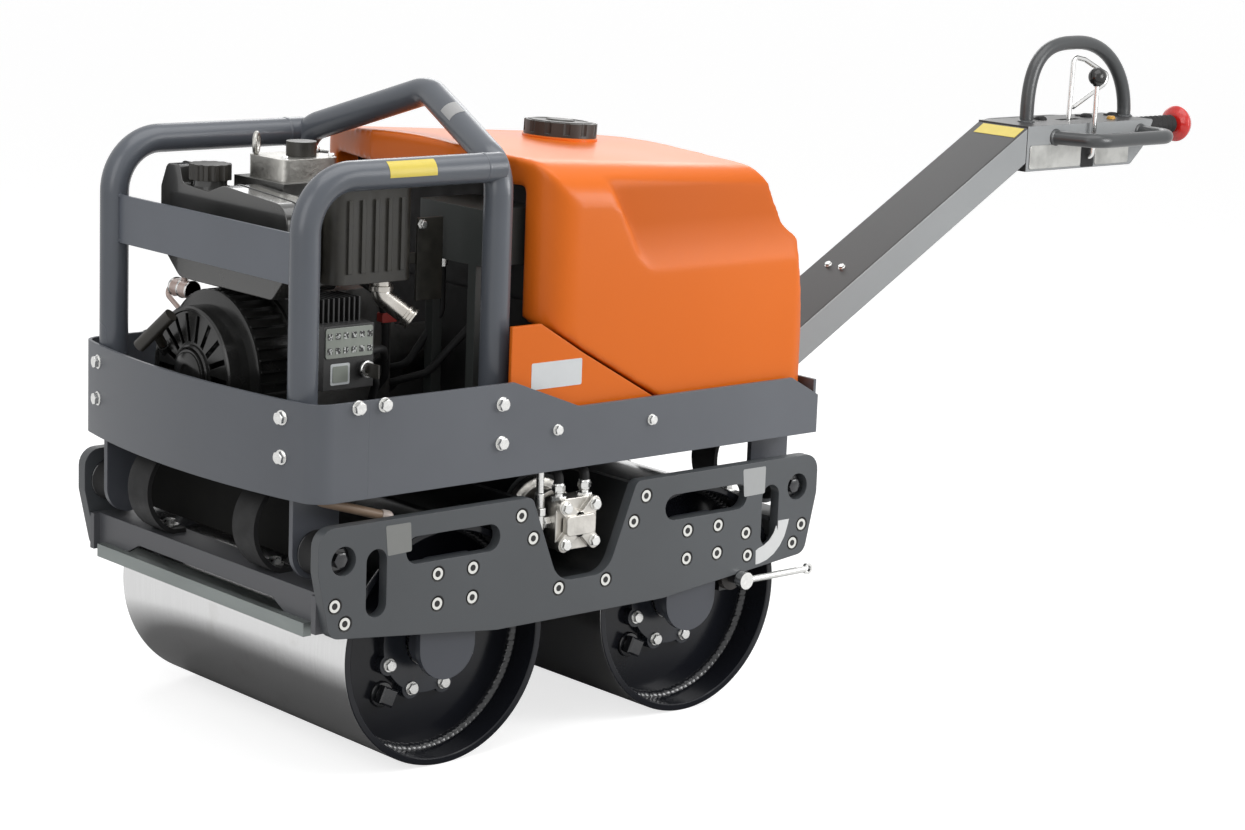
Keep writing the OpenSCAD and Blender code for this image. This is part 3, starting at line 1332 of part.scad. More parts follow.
// Handle bracket: a plate on the rear panel, two ears, the pin and a stop bar
pin_x = 612;
pin_drop = 8;
pin_z = deck_top - pin_drop;
pin_r = 10;
ear_t = 10;
ear_gap = 2;
ear_y = arm_w / 2 + ear_gap;
ear_back = panel_x + skirt_t;
ear_drop = 44;
ear_rise = 52;
ear_end_r = 36;
base_y = 118;
base_t = 10;
base_drop = 50;
base_rise = 70;
ear_low = pin_z - ear_drop;
ear_high = pin_z + ear_rise;
base_low = pin_z - base_drop;
base_high = deck_top + base_rise;
stop_r = 8;
stop_along = 8;
pin_head = 4;
module handle_bracket() color(steel_grey) translate([frame_x, 0, 0]) {
    down = arm_t / 2 + stop_r + air;
    block(ear_back, ear_back + base_t, -base_y, base_y, base_low, base_high);
    both_sides() along_y(-ear_y - ear_t, -ear_y) {
        polygon([[ear_back + base_t, ear_low], [pin_x + ear_end_r / 2, ear_low],
            [pin_x + ear_end_r, pin_z], [pin_x, pin_z + ear_end_r], [ear_back + base_t, ear_high]]);
        translate([pin_x, pin_z]) circle(r = ear_end_r);
    }
    disc_y(pin_r, -ear_y - ear_t - pin_head, ear_y + ear_t + pin_head, pin_x, pin_z);
    disc_y(stop_r, -ear_y, ear_y, pin_x + stop_along * cos(arm_slope) + down * sin(arm_slope),
        pin_z + stop_along * sin(arm_slope) - down * cos(arm_slope));
}

// Handle arm: a hollow box on the pin, cut upright where the head starts
head_x0 = pin_x + arm_l * cos(arm_slope);
head_x1 = head_x0 + head_l;
head_lip = 2;
head_top_z = pin_z + arm_l * sin(arm_slope) + arm_t / 2 / cos(arm_slope) + head_lip;
head_low_z = head_top_z - head_h;
arm_hollow_x = 40;
arm_end_r = 30;
arm_bolt_d = 16;
arm_bolt_h = 8;
arm_bolt_places = [320, 372];
module arm_frame() translate([pin_x, 0, pin_z]) rotate([0, -arm_slope, 0]) children();
function arm_at(along, up) = [pin_x + along * cos(arm_slope) - up * sin(arm_slope),
    pin_z + along * sin(arm_slope) + up * cos(arm_slope)];
function arm_cut(x, up) = arm_at((x - pin_x + up * sin(arm_slope)) / cos(arm_slope), up);
function arm_outline(from, half, x) =
    [arm_at(from, half), arm_at(from, -half), arm_cut(x, -half), arm_cut(x, half)];
module handle_arm() color(steel_grey) translate([frame_x, 0, 0]) {
    difference() {
        along_y(-arm_w / 2, arm_w / 2)
            polygon(round_corners(arm_outline(-arm_t / 2, arm_t / 2, head_x0), [arm_end_r, arm_end_r, 0, 0]));
        along_y(-arm_w / 2 + arm_wall, arm_w / 2 - arm_wall)
            polygon(arm_outline(arm_hollow_x, arm_t / 2 - arm_wall, head_x0 - arm_wall));
        disc_y(pin_r + fit, -arm_w / 2 - over, arm_w / 2 + over, pin_x, pin_z);
    }
    arm_frame() for (x = arm_bolt_places)
        translate([x, 0, arm_t / 2 - arm_wall / 2]) cylinder(d = arm_bolt_d, h = arm_bolt_h, $fn = 6);
}

// Head of the handle: a hollow cover with openings for the levers
head_end_shares = [[1, 1], [0.925, 0.37], [0.829, 0], [0, 0], [0, 1]];
head_end_radii = [4, 12, 12, 0, 0];
lever_share = 0.4736;
travel_share = 0.5073;
lever_x = head_x0 + lever_share * head_l;
lever_slot_w = 24;
lever_slot_low = 4;
lever_slot_h = 36;
travel_x = head_x0 + travel_share * head_l;
travel_slot_l = 64;
travel_slot_w = 18;
grommet_r = 9;
grommet_h = 3;
grommet_shares = [[0.3466, 0.303], [0.7093, 0.288], [0.9062, 0.197]];
function head_points(i) = [for (s = head_end_shares)
    [head_x0 + s.x * head_l + (s.x < 0.5 ? i : -i), head_low_z + s.y * head_h + (s.y < 0.3 ? i : s.y > 0.9 ? -i : 0)]];
module head_cover() color(steel_grey) translate([frame_x, 0, 0]) {
    difference() {
        along_y(-arm_w / 2, arm_w / 2) polygon(round_corners(head_points(0), head_end_radii));
        along_y(-arm_w / 2 + arm_wall, arm_w / 2 - arm_wall)
            polygon(round_corners(head_points(arm_wall), head_end_radii));
        block(lever_x - lever_slot_w / 2, lever_x + lever_slot_w / 2, -arm_w / 2 - over, -arm_w / 2 + arm_wall + over,
            head_low_z + lever_slot_low, head_low_z + lever_slot_low + lever_slot_h);
        block(travel_x - travel_slot_l / 2, travel_x + travel_slot_l / 2, -travel_slot_w / 2, travel_slot_w / 2,
            head_top_z - arm_wall - over, head_top_z + over);
    }
    for (s = grommet_shares)
        disc_z(grommet_r, head_top_z, head_top_z + grommet_h, head_x0 + s.x * head_l, s.y * arm_w);
    travel_pivot();
    lever_pivot();
}
// Pivot pins of the two levers, across the inside of the head
travel_pivot_drop = 26;
lever_pivot_rise = 22;
lever_pivot_y = 40;
travel_pivot_z = head_top_z - travel_pivot_drop;
lever_pivot_z = head_low_z + lever_pivot_rise;
pivot_r = 5;
module travel_pivot() disc_y(pivot_r, -arm_w / 2 + arm_wall, arm_w / 2 - arm_wall, travel_x, travel_pivot_z);
module lever_pivot() {
    disc_x(pivot_r, lever_x - lever_slot_w, lever_x + lever_slot_w, -lever_pivot_y, lever_pivot_z);
    for (side = [-1, 1])
        block(lever_x + side * lever_slot_w - pivot_r, lever_x + side * lever_slot_w + pivot_r,
            -lever_pivot_y - pivot_r, -lever_pivot_y + pivot_r, head_low_z + arm_wall, lever_pivot_z + pivot_r);
}

// Hand tubes: the upright grip hoop and a loop on each side of the head
hoop_share = 0.1756;
hoop_x0 = head_x0 + hoop_share * head_l;
hoop_shares = [[0, 0], [-0.03, 0.9], [0.41, 1.03], [0.78, 0.86], [1, 0.37], [1, 0]];
hoop_bend = 45;
loop_drop = 25;
loop_z = head_top_z - loop_drop;
loop_x_shares = [0.2119, 0.2896, 0.8958];
loop_x = [for (s = loop_x_shares) head_x0 + s * head_l];
loop_bend = 34;
module hand_tubes() color(steel_grey) translate([frame_x, 0, 0]) {
    r = hand_tube / 2;
    out = bar_w / 2;
    start = head_top_z - foot_t;
    difference() {
        union() {
            bent_bar([for (s = hoop_shares) [hoop_x0 + s.x * hoop_l, 0, s.y == 0 ? start
                : head_top_z + s.y * (hoop_h - r)]], hoop_bend, r);
            both_sides() bent_bar([[loop_x[0], -arm_w / 2 + foot_t, loop_z], [loop_x[1], -out, loop_z],
                [loop_x[2], -out, loop_z], [loop_x[2], -arm_w / 2 + foot_t, loop_z]], loop_bend, r);
        }
        block(head_x0, head_x1, -arm_w / 2, arm_w / 2, head_low_z, head_top_z);
    }
}

// Travel lever: a bail that swings under the grip hoop, on a sleeve round its pivot
bail_r = 5;
bail_bend = 10;
bail_weld_r = 3.5;
sleeve_r = 10;
sleeve_half = 8;
bail_shares = [[0, -0.12], [0.03, 0.78], [0.26, 0.74], [0.76, 0.53], [0.69, 0.42], [0.075, 0.15]];
module travel_lever() color(bare_steel) translate([frame_x, 0, 0]) {
    pts = [for (s = bail_shares) [travel_x + s.x * hoop_l / 2, 0, head_top_z + s.y * hoop_h]];
    difference() {
        union() {
            disc_y(sleeve_r, -sleeve_half, sleeve_half, travel_x, travel_pivot_z);
            bent_bar(pts, bail_bend, bail_r);
            bar(pts[5] + unit(pts[4] - pts[5]) * bail_weld_r, [travel_x, 0, pts[5].z - bail_weld_r], bail_weld_r);
        }
        disc_y(pivot_r + fit, -sleeve_half - over, sleeve_half + over, travel_x, travel_pivot_z);
    }
}

// Vibration lever: a rod with a round knob, turning on its own pivot inside the head
rod_y = 80;
rod_r = 5;
rod_bend = 12;
rod_sleeve_half = 9;
knob_r = 18.5;
knob_rise = 162;
module vibration_lever() color(bare_steel) translate([frame_x, 0, 0]) difference() {
    union() {
        disc_x(sleeve_r, lever_x - rod_sleeve_half, lever_x + rod_sleeve_half, -lever_pivot_y, lever_pivot_z);
        bent_bar([[lever_x, -lever_pivot_y - pivot_r, lever_pivot_z], [lever_x, -rod_y, lever_pivot_z],
            [lever_x, -rod_y, lever_pivot_z + knob_rise]], rod_bend, rod_r);
        translate([lever_x, -rod_y, lever_pivot_z + knob_rise]) sphere(r = knob_r);
    }
    disc_x(pivot_r + fit, lever_x - rod_sleeve_half - over, lever_x + rod_sleeve_half + over,
        -lever_pivot_y, lever_pivot_z);
}

// Safety button on its bellows at the end of the head
button_drop = 23;
button_z = head_top_z - button_drop;
bellows_x0 = head_x1 + head_lip;
bellows_l = 141;
bellows_r = 19;
bellows_valley = 14;
bellows_bore = 9;
bellows_ribs = 9;
button_h = 40;
button_lip = 10;
button_back_x = bellows_x0 + bellows_l;
tail_x = button_back_x + button_h;
// Shift that puts the middle of the machine's length at x = 0
frame_x = (bumper_x - tail_x) / 2;
stem_d = 14;
socket_r = 19;
module revolve_x(x) translate([x, 0, button_z]) rotate([0, 90, 0]) rotate_extrude() children();
module button_bellows() color(dark_black) translate([frame_x, 0, 0]) difference() {
    union() {
        pitch = bellows_l / bellows_ribs;
        revolve_x(bellows_x0) polygon(concat([[bellows_bore, 0]],
            [for (k = [0 : bellows_ribs - 1]) each [[bellows_valley, k * pitch],
                [bellows_r, (k + 0.35) * pitch], [bellows_r, (k + 0.65) * pitch]]],
            [[bellows_valley, bellows_l - air], [bellows_bore, bellows_l - air]]));
        disc_x(socket_r, head_x1 - socket_r, bellows_x0, 0, button_z);
    }
    disc_x(bellows_bore, head_x1 - socket_r - over, bellows_x0 + over, 0, button_z);
    along_y(-arm_w, arm_w) polygon(round_corners(head_points(0), head_end_radii));
}
module safety_button() color(button_red) translate([frame_x, 0, 0]) {
    revolve_x(button_back_x) polygon([[0, 0], [button_d / 3, 0], [button_d / 2, button_lip],
        [button_d / 2, button_lip * 1.6], [button_d * 0.42, button_h * 0.72], [button_d * 0.24, button_h * 0.93],
        [0, button_h]]);
    disc_x(stem_d / 2, bellows_x0 + button_travel, button_back_x + over, 0, button_z);
}

side_plate_left();
side_plate_right();
side_plate_bolts();
cross_beams();
scrapers();
drum_carriers();
bearings();
front_drum();
front_drum_hubs();
front_hub_bolts();
rear_drum();
rear_drum_hubs();
rear_hub_bolts();
drive_motors();
exciter_frame();
exciter_housing();
eccentric_shaft();
exciter_motor();
hydraulic_hoses();
limit_straps();
rubber_mounts();
leg_brackets();
brake_bracket();
brake_lever();
deck();
side_skirts();
front_bumper();
rear_panel();
skirt_bolts();
cage();
cage_front_plate();
water_tank();
tank_cap();
side_covers();
hydraulic_tank();
battery();
hydraulic_pump();
engine_block();
engine_cylinder();
valve_cover();
fan_housing();
flywheel();
starter_cover();
starter_handle();
fuel_tank();
fuel_cap();
oil_cap();
muffler();
exhaust_pipe();
fuel_filter();
control_box();
ignition_key();
handle_bracket();
handle_arm();
head_cover();
hand_tubes();
travel_lever();
vibration_lever();
button_bellows();
safety_button();
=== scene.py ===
import math

import bmesh
import bpy
from mathutils import Matrix, Vector


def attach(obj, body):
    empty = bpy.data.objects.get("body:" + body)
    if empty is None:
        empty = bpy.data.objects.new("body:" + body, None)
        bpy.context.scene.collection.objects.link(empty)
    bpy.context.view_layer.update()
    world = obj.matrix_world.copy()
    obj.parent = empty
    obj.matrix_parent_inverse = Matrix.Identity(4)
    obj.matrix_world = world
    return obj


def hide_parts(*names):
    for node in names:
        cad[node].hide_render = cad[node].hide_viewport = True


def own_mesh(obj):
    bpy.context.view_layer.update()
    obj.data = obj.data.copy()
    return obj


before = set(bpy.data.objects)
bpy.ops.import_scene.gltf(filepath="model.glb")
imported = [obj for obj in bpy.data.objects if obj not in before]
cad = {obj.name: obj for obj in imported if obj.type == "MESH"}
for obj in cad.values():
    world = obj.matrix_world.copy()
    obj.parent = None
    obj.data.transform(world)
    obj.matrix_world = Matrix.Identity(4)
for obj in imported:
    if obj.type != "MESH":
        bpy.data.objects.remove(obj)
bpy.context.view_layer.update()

# Camera and studio. The machine is drawn in millimetres from the middle of its wheelbase on the ground,
# and it stands 680.1 mm behind the middle of its whole length.
MIDDLE = -680.1


def at(x, y, z):
    """A point of the machine, from millimetres to the frame's metres."""
    return Vector(((x + MIDDLE) / 1000, y / 1000, z / 1000))


yaw, pitch, roll = (math.radians(a) for a in (41.556, 11.507, 2.2226))
sight = Vector((math.sin(yaw) * math.cos(pitch), math.cos(yaw) * math.cos(pitch), -math.sin(pitch)))
level = Vector((math.cos(yaw), -math.sin(yaw), 0))
rise = level.cross(sight)
right = level * math.cos(roll) + rise * math.sin(roll)
up = rise * math.cos(roll) - level * math.sin(roll)
camera = bpy.data.objects.new("camera", bpy.data.cameras.new("camera"))
camera.data.lens = 88.05
camera.data.sensor_width = 36
camera.data.sensor_fit = "HORIZONTAL"
camera.data.clip_end = 100
camera.matrix_world = Matrix.Translation(at(-3202.7, -4046.3, 1552.7)) @ Matrix(
    (right, up, -sight)).transposed().to_4x4()
bpy.context.scene.collection.objects.link(camera)
bpy.context.scene.camera = camera
bpy.context.scene.view_settings.view_transform = "Standard"


def lamp(name, place, aim, size, power):
    """A soft box that faces a point of the machine."""
    light = bpy.data.objects.new(name, bpy.data.lights.new(name, "AREA"))
    light.data.shape = "RECTANGLE"
    light.data.size = size[0]
    light.data.size_y = size[1]
    light.data.energy = power
    light.location = place
    light.rotation_mode = "QUATERNION"
    light.rotation_quaternion = (Vector(aim) - Vector(place)).to_track_quat("-Z", "Y")
    bpy.context.scene.collection.objects.link(light)


lamp("lamp_over", (-0.4, -0.6, 3.6), (-0.2, 0, 0.4), (3.6, 2.6), 63)
lamp("lamp_left", (-3.4, -1.2, 2.0), (-0.7, 0, 0.6), (1.6, 2.4), 22)
lamp("lamp_right", (1.6, -3.6, 2.2), (-0.2, 0, 0.5), (2.4, 2.0), 34)
lamp("lamp_side", (1.0, -1.7, 1.2), (-0.1, -0.3, 0.6), (0.9, 0.9), 16)
lamp("lamp_rear", (2.2, 2.8, 2.6), (-0.2, 0, 0.6), (2.4, 1.6), 30)


class Wire:
    """A value in a material's nodes. Sums and comparisons on it add Math nodes."""

    def __init__(self, finish, socket):
        self.finish = finish
        self.socket = socket

    def math(self, operation, *values):
        return self.finish.node("Math", {"operation": operation}, dict(enumerate(values)))

    def __add__(self, other):
        return self.math("ADD", self, other)

    def __sub__(self, other):
        return self.math("SUBTRACT", self, other)

    def __rsub__(self, other):
        return self.math("SUBTRACT", other, self)

    def __mul__(self, other):
        return self.math("MULTIPLY", self, other)

    def __pow__(self, other):
        return self.math("POWER", self, other)

    def __gt__(self, other):
        return self.math("GREATER_THAN", self, other)

    def __lt__(self, other):
        return self.math("LESS_THAN", self, other)

    def __abs__(self):
        return self.math("ABSOLUTE", self)


class Finish:
    """A material with one Principled shader and whatever nodes feed it."""

    def __init__(self, name, **fixed):
        self.material = bpy.data.materials.new(name)
        self.material.use_nodes = True
        self.tree = self.material.node_tree
        self.shader = self.tree.nodes["Principled BSDF"]
        self.feed(**fixed)

    def feed(self, **values):
        for name, value in values.items():
            self.join(self.shader.inputs[name.replace("_", " ").title().replace("Ior", "IOR")], value)

    def join(self, socket, value):
        if isinstance(value, Wire):
            self.tree.links.new(value.socket, socket)
        elif socket.type == "RGBA" and len(value) == 3:
            socket.default_value = (*value, 1)
        else:
            socket.default_value = value

    def node(self, kind, settings, sockets, output=0):
        made = self.tree.nodes.new("ShaderNode" + kind)
        for name, value in settings.items():
            if name == "stops":
                ramp = made.color_ramp.elements
                while len(ramp) < len(value):
                    ramp.new(1)
                for stop, (place, tone) in zip(ramp, value):
                    stop.position = place
                    stop.color = (tone, tone, tone, 1)
            else:
                setattr(made, name, value)
        for name, value in sockets.items():
            self.join(made.inputs[name], value)
        return Wire(self, made.outputs[output])

    def place(self):
        return self.node("TexCoord", {}, {}, "Object")

    def axes(self):
        spot = self.place()
        return [self.node("SeparateXYZ", {}, {0: spot}, i) for i in range(3)]

    def noise(self, scale, detail=2.0, stretch=(1, 1, 1)):
        spot = self.node("Mapping", {}, {"Vector": self.place(), "Scale": stretch})
        return self.node("TexNoise", {}, {"Vector": spot, "Scale": scale, "Detail": detail}, "Fac")

    def ramp(self, value, *stops):
        return self.node("ValToRGB", {"stops": stops}, {0: value})

    def blend(self, share, first, second):
        return self.node("Mix", {"data_type": "RGBA"}, {0: share, 6: first, 7: second}, 2)

    def bump(self, height, depth, rounding=None):
        sockets = {"Height": height, "Distance": depth, "Strength": 1.0}
        if rounding:
            sockets["Normal"] = self.node("Bevel", {"samples": 4}, {"Radius": rounding})
        return self.node("Bump", {}, sockets)


# Ground and surroundings: a pale floor that keeps the shadow, and white surroundings for what looks
# at them or reflects them. Reflections see the floor painted darker, and its glow fades out close to the
# drums as painted shade.
floor_mesh = bpy.data.meshes.new("floor")
floor_mesh.from_pydata([(-20, -20, 0), (20, -20, 0), (20, 20, 0), (-20, 20, 0)], [], [(0, 1, 2, 3)])
floor = bpy.data.objects.new("floor", floor_mesh)
bpy.context.scene.collection.objects.link(floor)
floor_finish = Finish("floor_white", roughness=0.9)
x, y, z = floor_finish.axes()
drums_x, drums_y = 0.465, 0.325
beyond = x.math("MAXIMUM", abs(x - MIDDLE / 1000) - drums_x, 0)
beside = y.math("MAXIMUM", abs(y) - drums_y, 0)
# Painted shade: reflections see the floor darker, and without its glow close to the drums.
glow_past_painted_drum_shade = floor_finish.ramp((beyond * beyond + beside * beside) ** 0.5, (0.1, 0), (0.34, 1))
seen, mirrored = (floor_finish.node("LightPath", {}, {}, kind) for kind in ("Is Camera Ray", "Is Glossy Ray"))
floor_finish.feed(base_color=floor_finish.blend(mirrored, (0.5, 0.5, 0.5), (0.22, 0.22, 0.22)))
glow = floor_finish.node(
    "Emission", {}, {"Color": (1, 1, 1), "Strength": seen * 0.74 + mirrored * glow_past_painted_drum_shade * 0.8})
both = floor_finish.node("AddShader", {}, {0: Wire(floor_finish, floor_finish.shader.outputs[0]), 1: glow})
floor_finish.join(floor_finish.tree.nodes["Material Output"].inputs["Surface"], both)
floor_mesh.materials.append(floor_finish.material)

world = bpy.data.worlds.new("studio")
world.use_nodes = True
bpy.context.scene.world = world
sky = world.node_tree
rays = sky.nodes.new("ShaderNodeLightPath")
strength = None
for kind in ("Is Camera Ray", "Is Glossy Ray", "Is Transmission Ray"):
    either = sky.nodes.new("ShaderNodeMath")
    either.operation = "MAXIMUM"
    either.inputs[0].default_value = 0.38
    if strength:
        sky.links.new(strength, either.inputs[0])
    sky.links.new(rays.outputs[kind], either.inputs[1])
    strength = either.outputs[0]
sky.links.new(strength, sky.nodes["Background"].inputs["Strength"])
sky.nodes["Background"].inputs["Color"].default_value = (1, 1, 1, 1)


# Side plates, deck, skirts, bumper and the other frame sheets: steel under a grey powder coat that
# shows a fine orange peel, with softly rounded edges and a trace of dust.
def powder_coat(name, tone, gloss):
    coat = Finish(name)
    peel = coat.noise(900, 2)
    cloud = coat.noise(5, 3)
    coat.feed(
        base_color=coat.blend(coat.ramp(cloud, (0.3, 0.0), (0.75, 1.0)), tone, [c * 1.14 for c in tone]),
        roughness=coat.ramp(cloud, (0.2, gloss), (0.8, gloss + 0.08)),
        normal=coat.bump(peel, 0.00006, 0.0016),
    )
    return coat.material


frame_grey = powder_coat("frame_grey", (0.103, 0.111, 0.126), 0.36)


def dress(names, material):
    """Gives carried-over CAD nodes a finish, and smooths their round faces."""
    for name in names:
        item = cad[name]
        item.data.materials.clear()
        item.data.materials.append(material)
        item.data.shade_smooth()
        weld = item.modifiers.new("weld", "WELD")
        weld.merge_threshold = 0.00001
        split = item.modifiers.new("edges", "EDGE_SPLIT")
        split.split_angle = math.radians(32)


dress(cad, frame_grey)
# The side plates take a darker copy of the frame's grey, as painted shade.
plate_paint = powder_coat("plate_paint", (0.070, 0.076, 0.082), 0.34)
dress(["side_plate_left", "side_plate_right"], plate_paint)
# The deck is painted near black, as painted shade for its underside.
dress(["deck"], powder_coat("deck_paint", (0.030, 0.032, 0.035), 0.4))


# Drums: a rolled shell of bare steel that brushes the ground, with two painted discs welded inside it
# behind the rim. Each disc carries a square headed drain plug.
def lathe(shape, start, along, profile, steps=48, closed=False, turn=0.0):
    """Turns (radius, distance) pairs round an axis through a point in millimetres."""
    tilted = Vector(along).to_track_quat("Z", "Y").to_matrix()
    rings = []
    for radius, reach in profile:
        angles = [2 * math.pi * i / steps + turn for i in range(steps if radius > 0 else 1)]
        knots = [Vector((radius * math.cos(a), radius * math.sin(a), reach)) for a in angles]
        rings.append([shape.verts.new(at(*(Vector(start) + tilted @ knot))) for knot in knots])
    for first, second in zip(rings, rings[1:] + rings[:1] if closed else rings[1:]):
        for i in range(steps):
            j = (i + 1) % steps
            corners = [first[i % len(first)], first[j % len(first)]]
            corners += [second[j % len(second)], second[i % len(second)]]
            corners = list(dict.fromkeys(corners))
            if len(corners) > 2:
                shape.faces.new(corners)
    if not closed:
        for ring in (rings[0], rings[-1]):
            if len(ring) > 1:
                shape.faces.new(ring)


def settle(name, mesh, finish, body, replaces=(), slot=None, crease=35, bevel=0.0, steps=2):
    """Makes an object of a mesh in the frame's metres, and lets it ride on a body."""
    if finish:
        mesh.materials.clear()
        mesh.materials.append(finish)
    mesh.shade_smooth()
    mesh.set_sharp_from_angle(angle=math.radians(crease))
    item = bpy.data.objects.new(name, mesh)
    bpy.context.scene.collection.objects.link(item)
    if bevel:
        rounding = item.modifiers.new("rounded_edges", "BEVEL")
        rounding.width = bevel / 1000
        rounding.segments = steps
        rounding.limit_method = "ANGLE"
        rounding.angle_limit = math.radians(40)
        rounding.harden_normals = True
    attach(item, body)
    if replaces:
        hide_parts(*replaces)
    return item


def piece(name, shape, finish, body="machine", **rest):
    """Closes a bmesh, turns its faces outwards and settles it."""
    bmesh.ops.remove_doubles(shape, verts=shape.verts, dist=1e-6)
    bmesh.ops.recalc_face_normals(shape, faces=shape.faces)
    mesh = bpy.data.meshes.new(name)
    shape.to_mesh(mesh)
    shape.free()
    return settle(name, mesh, finish, body, **rest)


def turning(name, parts, finish, body="machine", **rest):
    """A piece of one or more turned forms, each given by its start, axis, profile and steps."""
    shape = bmesh.new()
    for part in parts:
        lathe(shape, *part)
    return piece(name, shape, finish, body, **rest)


AXLES = {"front_drum": -265, "rear_drum": 265}
DRUM_R = 200
DRUM_HALF = 325
DISC_FACE = 265
DISC_T = 12
SHELL_IN = 188
SHELL_RIM = 198.4
PAINT_FROM = 323.6


def drum_finish(axle):
    steel = Finish("rolled_steel", specular_ior_level=0.3)
    x, y, z = steel.axes()
    reach = ((x - (axle + MIDDLE) / 1000) ** 2 + (z - DRUM_R / 1000) ** 2) ** 0.5
    outside = (reach > SHELL_RIM / 1000) * (abs(y) < PAINT_FROM / 1000)
    rings = steel.noise(9, 4, (1, 70, 1))
    stains = steel.noise(14, 4)
    brushed = steel.ramp(rings, (0.3, 0.64), (0.7, 0.68))
    worn = steel.blend(steel.ramp(stains, (0.6, 0), (0.85, 0.35)), brushed, (0.42, 0.40, 0.37))
    steel.feed(
        base_color=steel.blend(outside, (0.009, 0.010, 0.014), worn),
        metallic=outside,
        roughness=outside * (rings * 0.06 + 0.13) + (1 - outside) * (stains * 0.16 + 0.08),
        normal=steel.bump(rings * outside * 0.2 + steel.noise(60, 3) * 0.6, 0.00016, 0.001),
    )
    return steel.material


disc_back = DISC_FACE - DISC_T
chamfer = 1.6
for name, axle in AXLES.items():
    side = [(SHELL_RIM, DRUM_HALF), (SHELL_IN + chamfer, DRUM_HALF), (SHELL_IN, DRUM_HALF - chamfer),
            (SHELL_IN, DISC_FACE), (60, DISC_FACE), (60, disc_back), (SHELL_IN, disc_back)]
    mirrored = [(r, -y) for r, y in side[::-1]]
    edge = [(DRUM_R, -DRUM_HALF + chamfer), (DRUM_R, -110), (DRUM_R, 110), (DRUM_R, DRUM_HALF - chamfer)]
    shell = ((axle, 0, DRUM_R), (0, 1, 0), side + mirrored + edge, 160, True)
    turning(name + "_shell", [shell], drum_finish(axle), name, replaces=[name], slot="drum_steel", crease=30)

gloss_finish = Finish("gloss_black", coat_weight=0.3, coat_roughness=0.08)
dust = gloss_finish.noise(18, 4)
dusty = gloss_finish.ramp(dust, (0.45, 0), (0.8, 1))
gloss_finish.feed(
    base_color=gloss_finish.blend(dusty, (0.014, 0.015, 0.018), (0.034, 0.035, 0.04)),
    roughness=gloss_finish.ramp(dust, (0.3, 0.13), (0.8, 0.28)),
    normal=gloss_finish.bump(gloss_finish.noise(260, 2), 0.00008),
)
gloss_black = gloss_finish.material


def new_tree(name, inputs):
    """An empty geometry tree with named inputs, and its first and last node."""
    tree = bpy.data.node_groups.new(name, "GeometryNodeTree")
    for label, kind in {"Geometry": "Geometry", **inputs}.items():
        tree.interface.new_socket(label, in_out="INPUT", socket_type="NodeSocket" + kind)
    tree.interface.new_socket("Geometry", in_out="OUTPUT", socket_type="NodeSocketGeometry")
    return tree, tree.nodes.new("NodeGroupInput"), tree.nodes.new("NodeGroupOutput")


def add(tree, kind, sockets, output=0, **settings):
    """One node of a geometry tree with its settings, then its values or links."""
    made = tree.nodes.new(kind)
    for label, value in settings.items():
        setattr(made, label, value)
    for label, value in sockets.items():
        if isinstance(value, bpy.types.NodeSocket):
            tree.links.new(value, made.inputs[label])
        else:
            made.inputs[label].default_value = value
    return made.outputs[output]


def grown(name, tree, source, **inputs):
    """Runs a geometry tree on a mesh, and returns the plain mesh that it makes."""
    holder = bpy.data.objects.new(name, source)
    bpy.context.scene.collection.objects.link(holder)
    modifier = holder.modifiers.new(name, "NODES")
    modifier.node_group = tree
    for item in tree.interface.items_tree:
        if item.name.lower().replace(" ", "_") in inputs:
            modifier[item.identifier] = inputs[item.name.lower().replace(" ", "_")]
    holder.update_tag()
    made = bpy.data.meshes.new_from_object(holder.evaluated_get(bpy.context.evaluated_depsgraph_get()))
    bpy.data.objects.remove(holder)
    return made


repeat_tree, given, result = new_tree("repeat", {"Pattern": "Object", "Finish": "Material"})
pattern = add(repeat_tree, "GeometryNodeObjectInfo", {"Object": given.outputs["Pattern"]}, "Geometry")
facing = add(repeat_tree, "GeometryNodeInputNamedAttribute", {"Name": "facing"}, data_type="FLOAT_VECTOR")
along = add(repeat_tree, "GeometryNodeInputNamedAttribute", {"Name": "along"}, data_type="FLOAT_VECTOR")
stood = add(repeat_tree, "FunctionNodeAlignRotationToVector", {"Vector": facing}, axis="Z")
turned = add(repeat_tree, "FunctionNodeAlignRotationToVector", {"Rotation": stood, "Vector": along}, axis="X",
             pivot_axis="Z")
copies = add(repeat_tree, "GeometryNodeInstanceOnPoints",
             {"Points": given.outputs["Geometry"], "Instance": pattern, "Rotation": turned})
real = add(repeat_tree, "GeometryNodeRealizeInstances", {"Geometry": copies})
painted = add(repeat_tree, "GeometryNodeSetMaterial", {"Geometry": real, "Material": given.outputs["Finish"]})
repeat_tree.links.new(painted, result.inputs[0])


def repeated(name, shape, places, finish, body="machine", **rest):
    """Copies a small bmesh, drawn round the origin, to (point, facing, along) places."""
    bmesh.ops.recalc_face_normals(shape, faces=shape.faces)
    pattern_mesh = bpy.data.meshes.new(name)
    shape.to_mesh(pattern_mesh)
    shape.free()
    model = bpy.data.objects.new(name + "_pattern", pattern_mesh)
    bpy.context.scene.collection.objects.link(model)
    points = bpy.data.meshes.new(name)
    points.from_pydata([at(*point) for point, _, _ in places], [], [])
    for label, column in (("facing", 1), ("along", 2)):
        values = points.attributes.new(label, "FLOAT_VECTOR", "POINT")
        values.data.foreach_set("vector", [c for place in places for c in place[column]])
    made = grown(name, repeat_tree, points, pattern=model, finish=finish)
    bpy.data.objects.remove(model)
    return settle(name, made, None, body, **rest)


def at_origin(shape_maker, *values):
    """A bmesh drawn round the origin, for a pattern."""
    shape = bmesh.new()
    shape_maker(shape, *values)
    bmesh.ops.translate(shape, vec=(-MIDDLE / 1000, 0, 0), verts=shape.verts)
    return shape


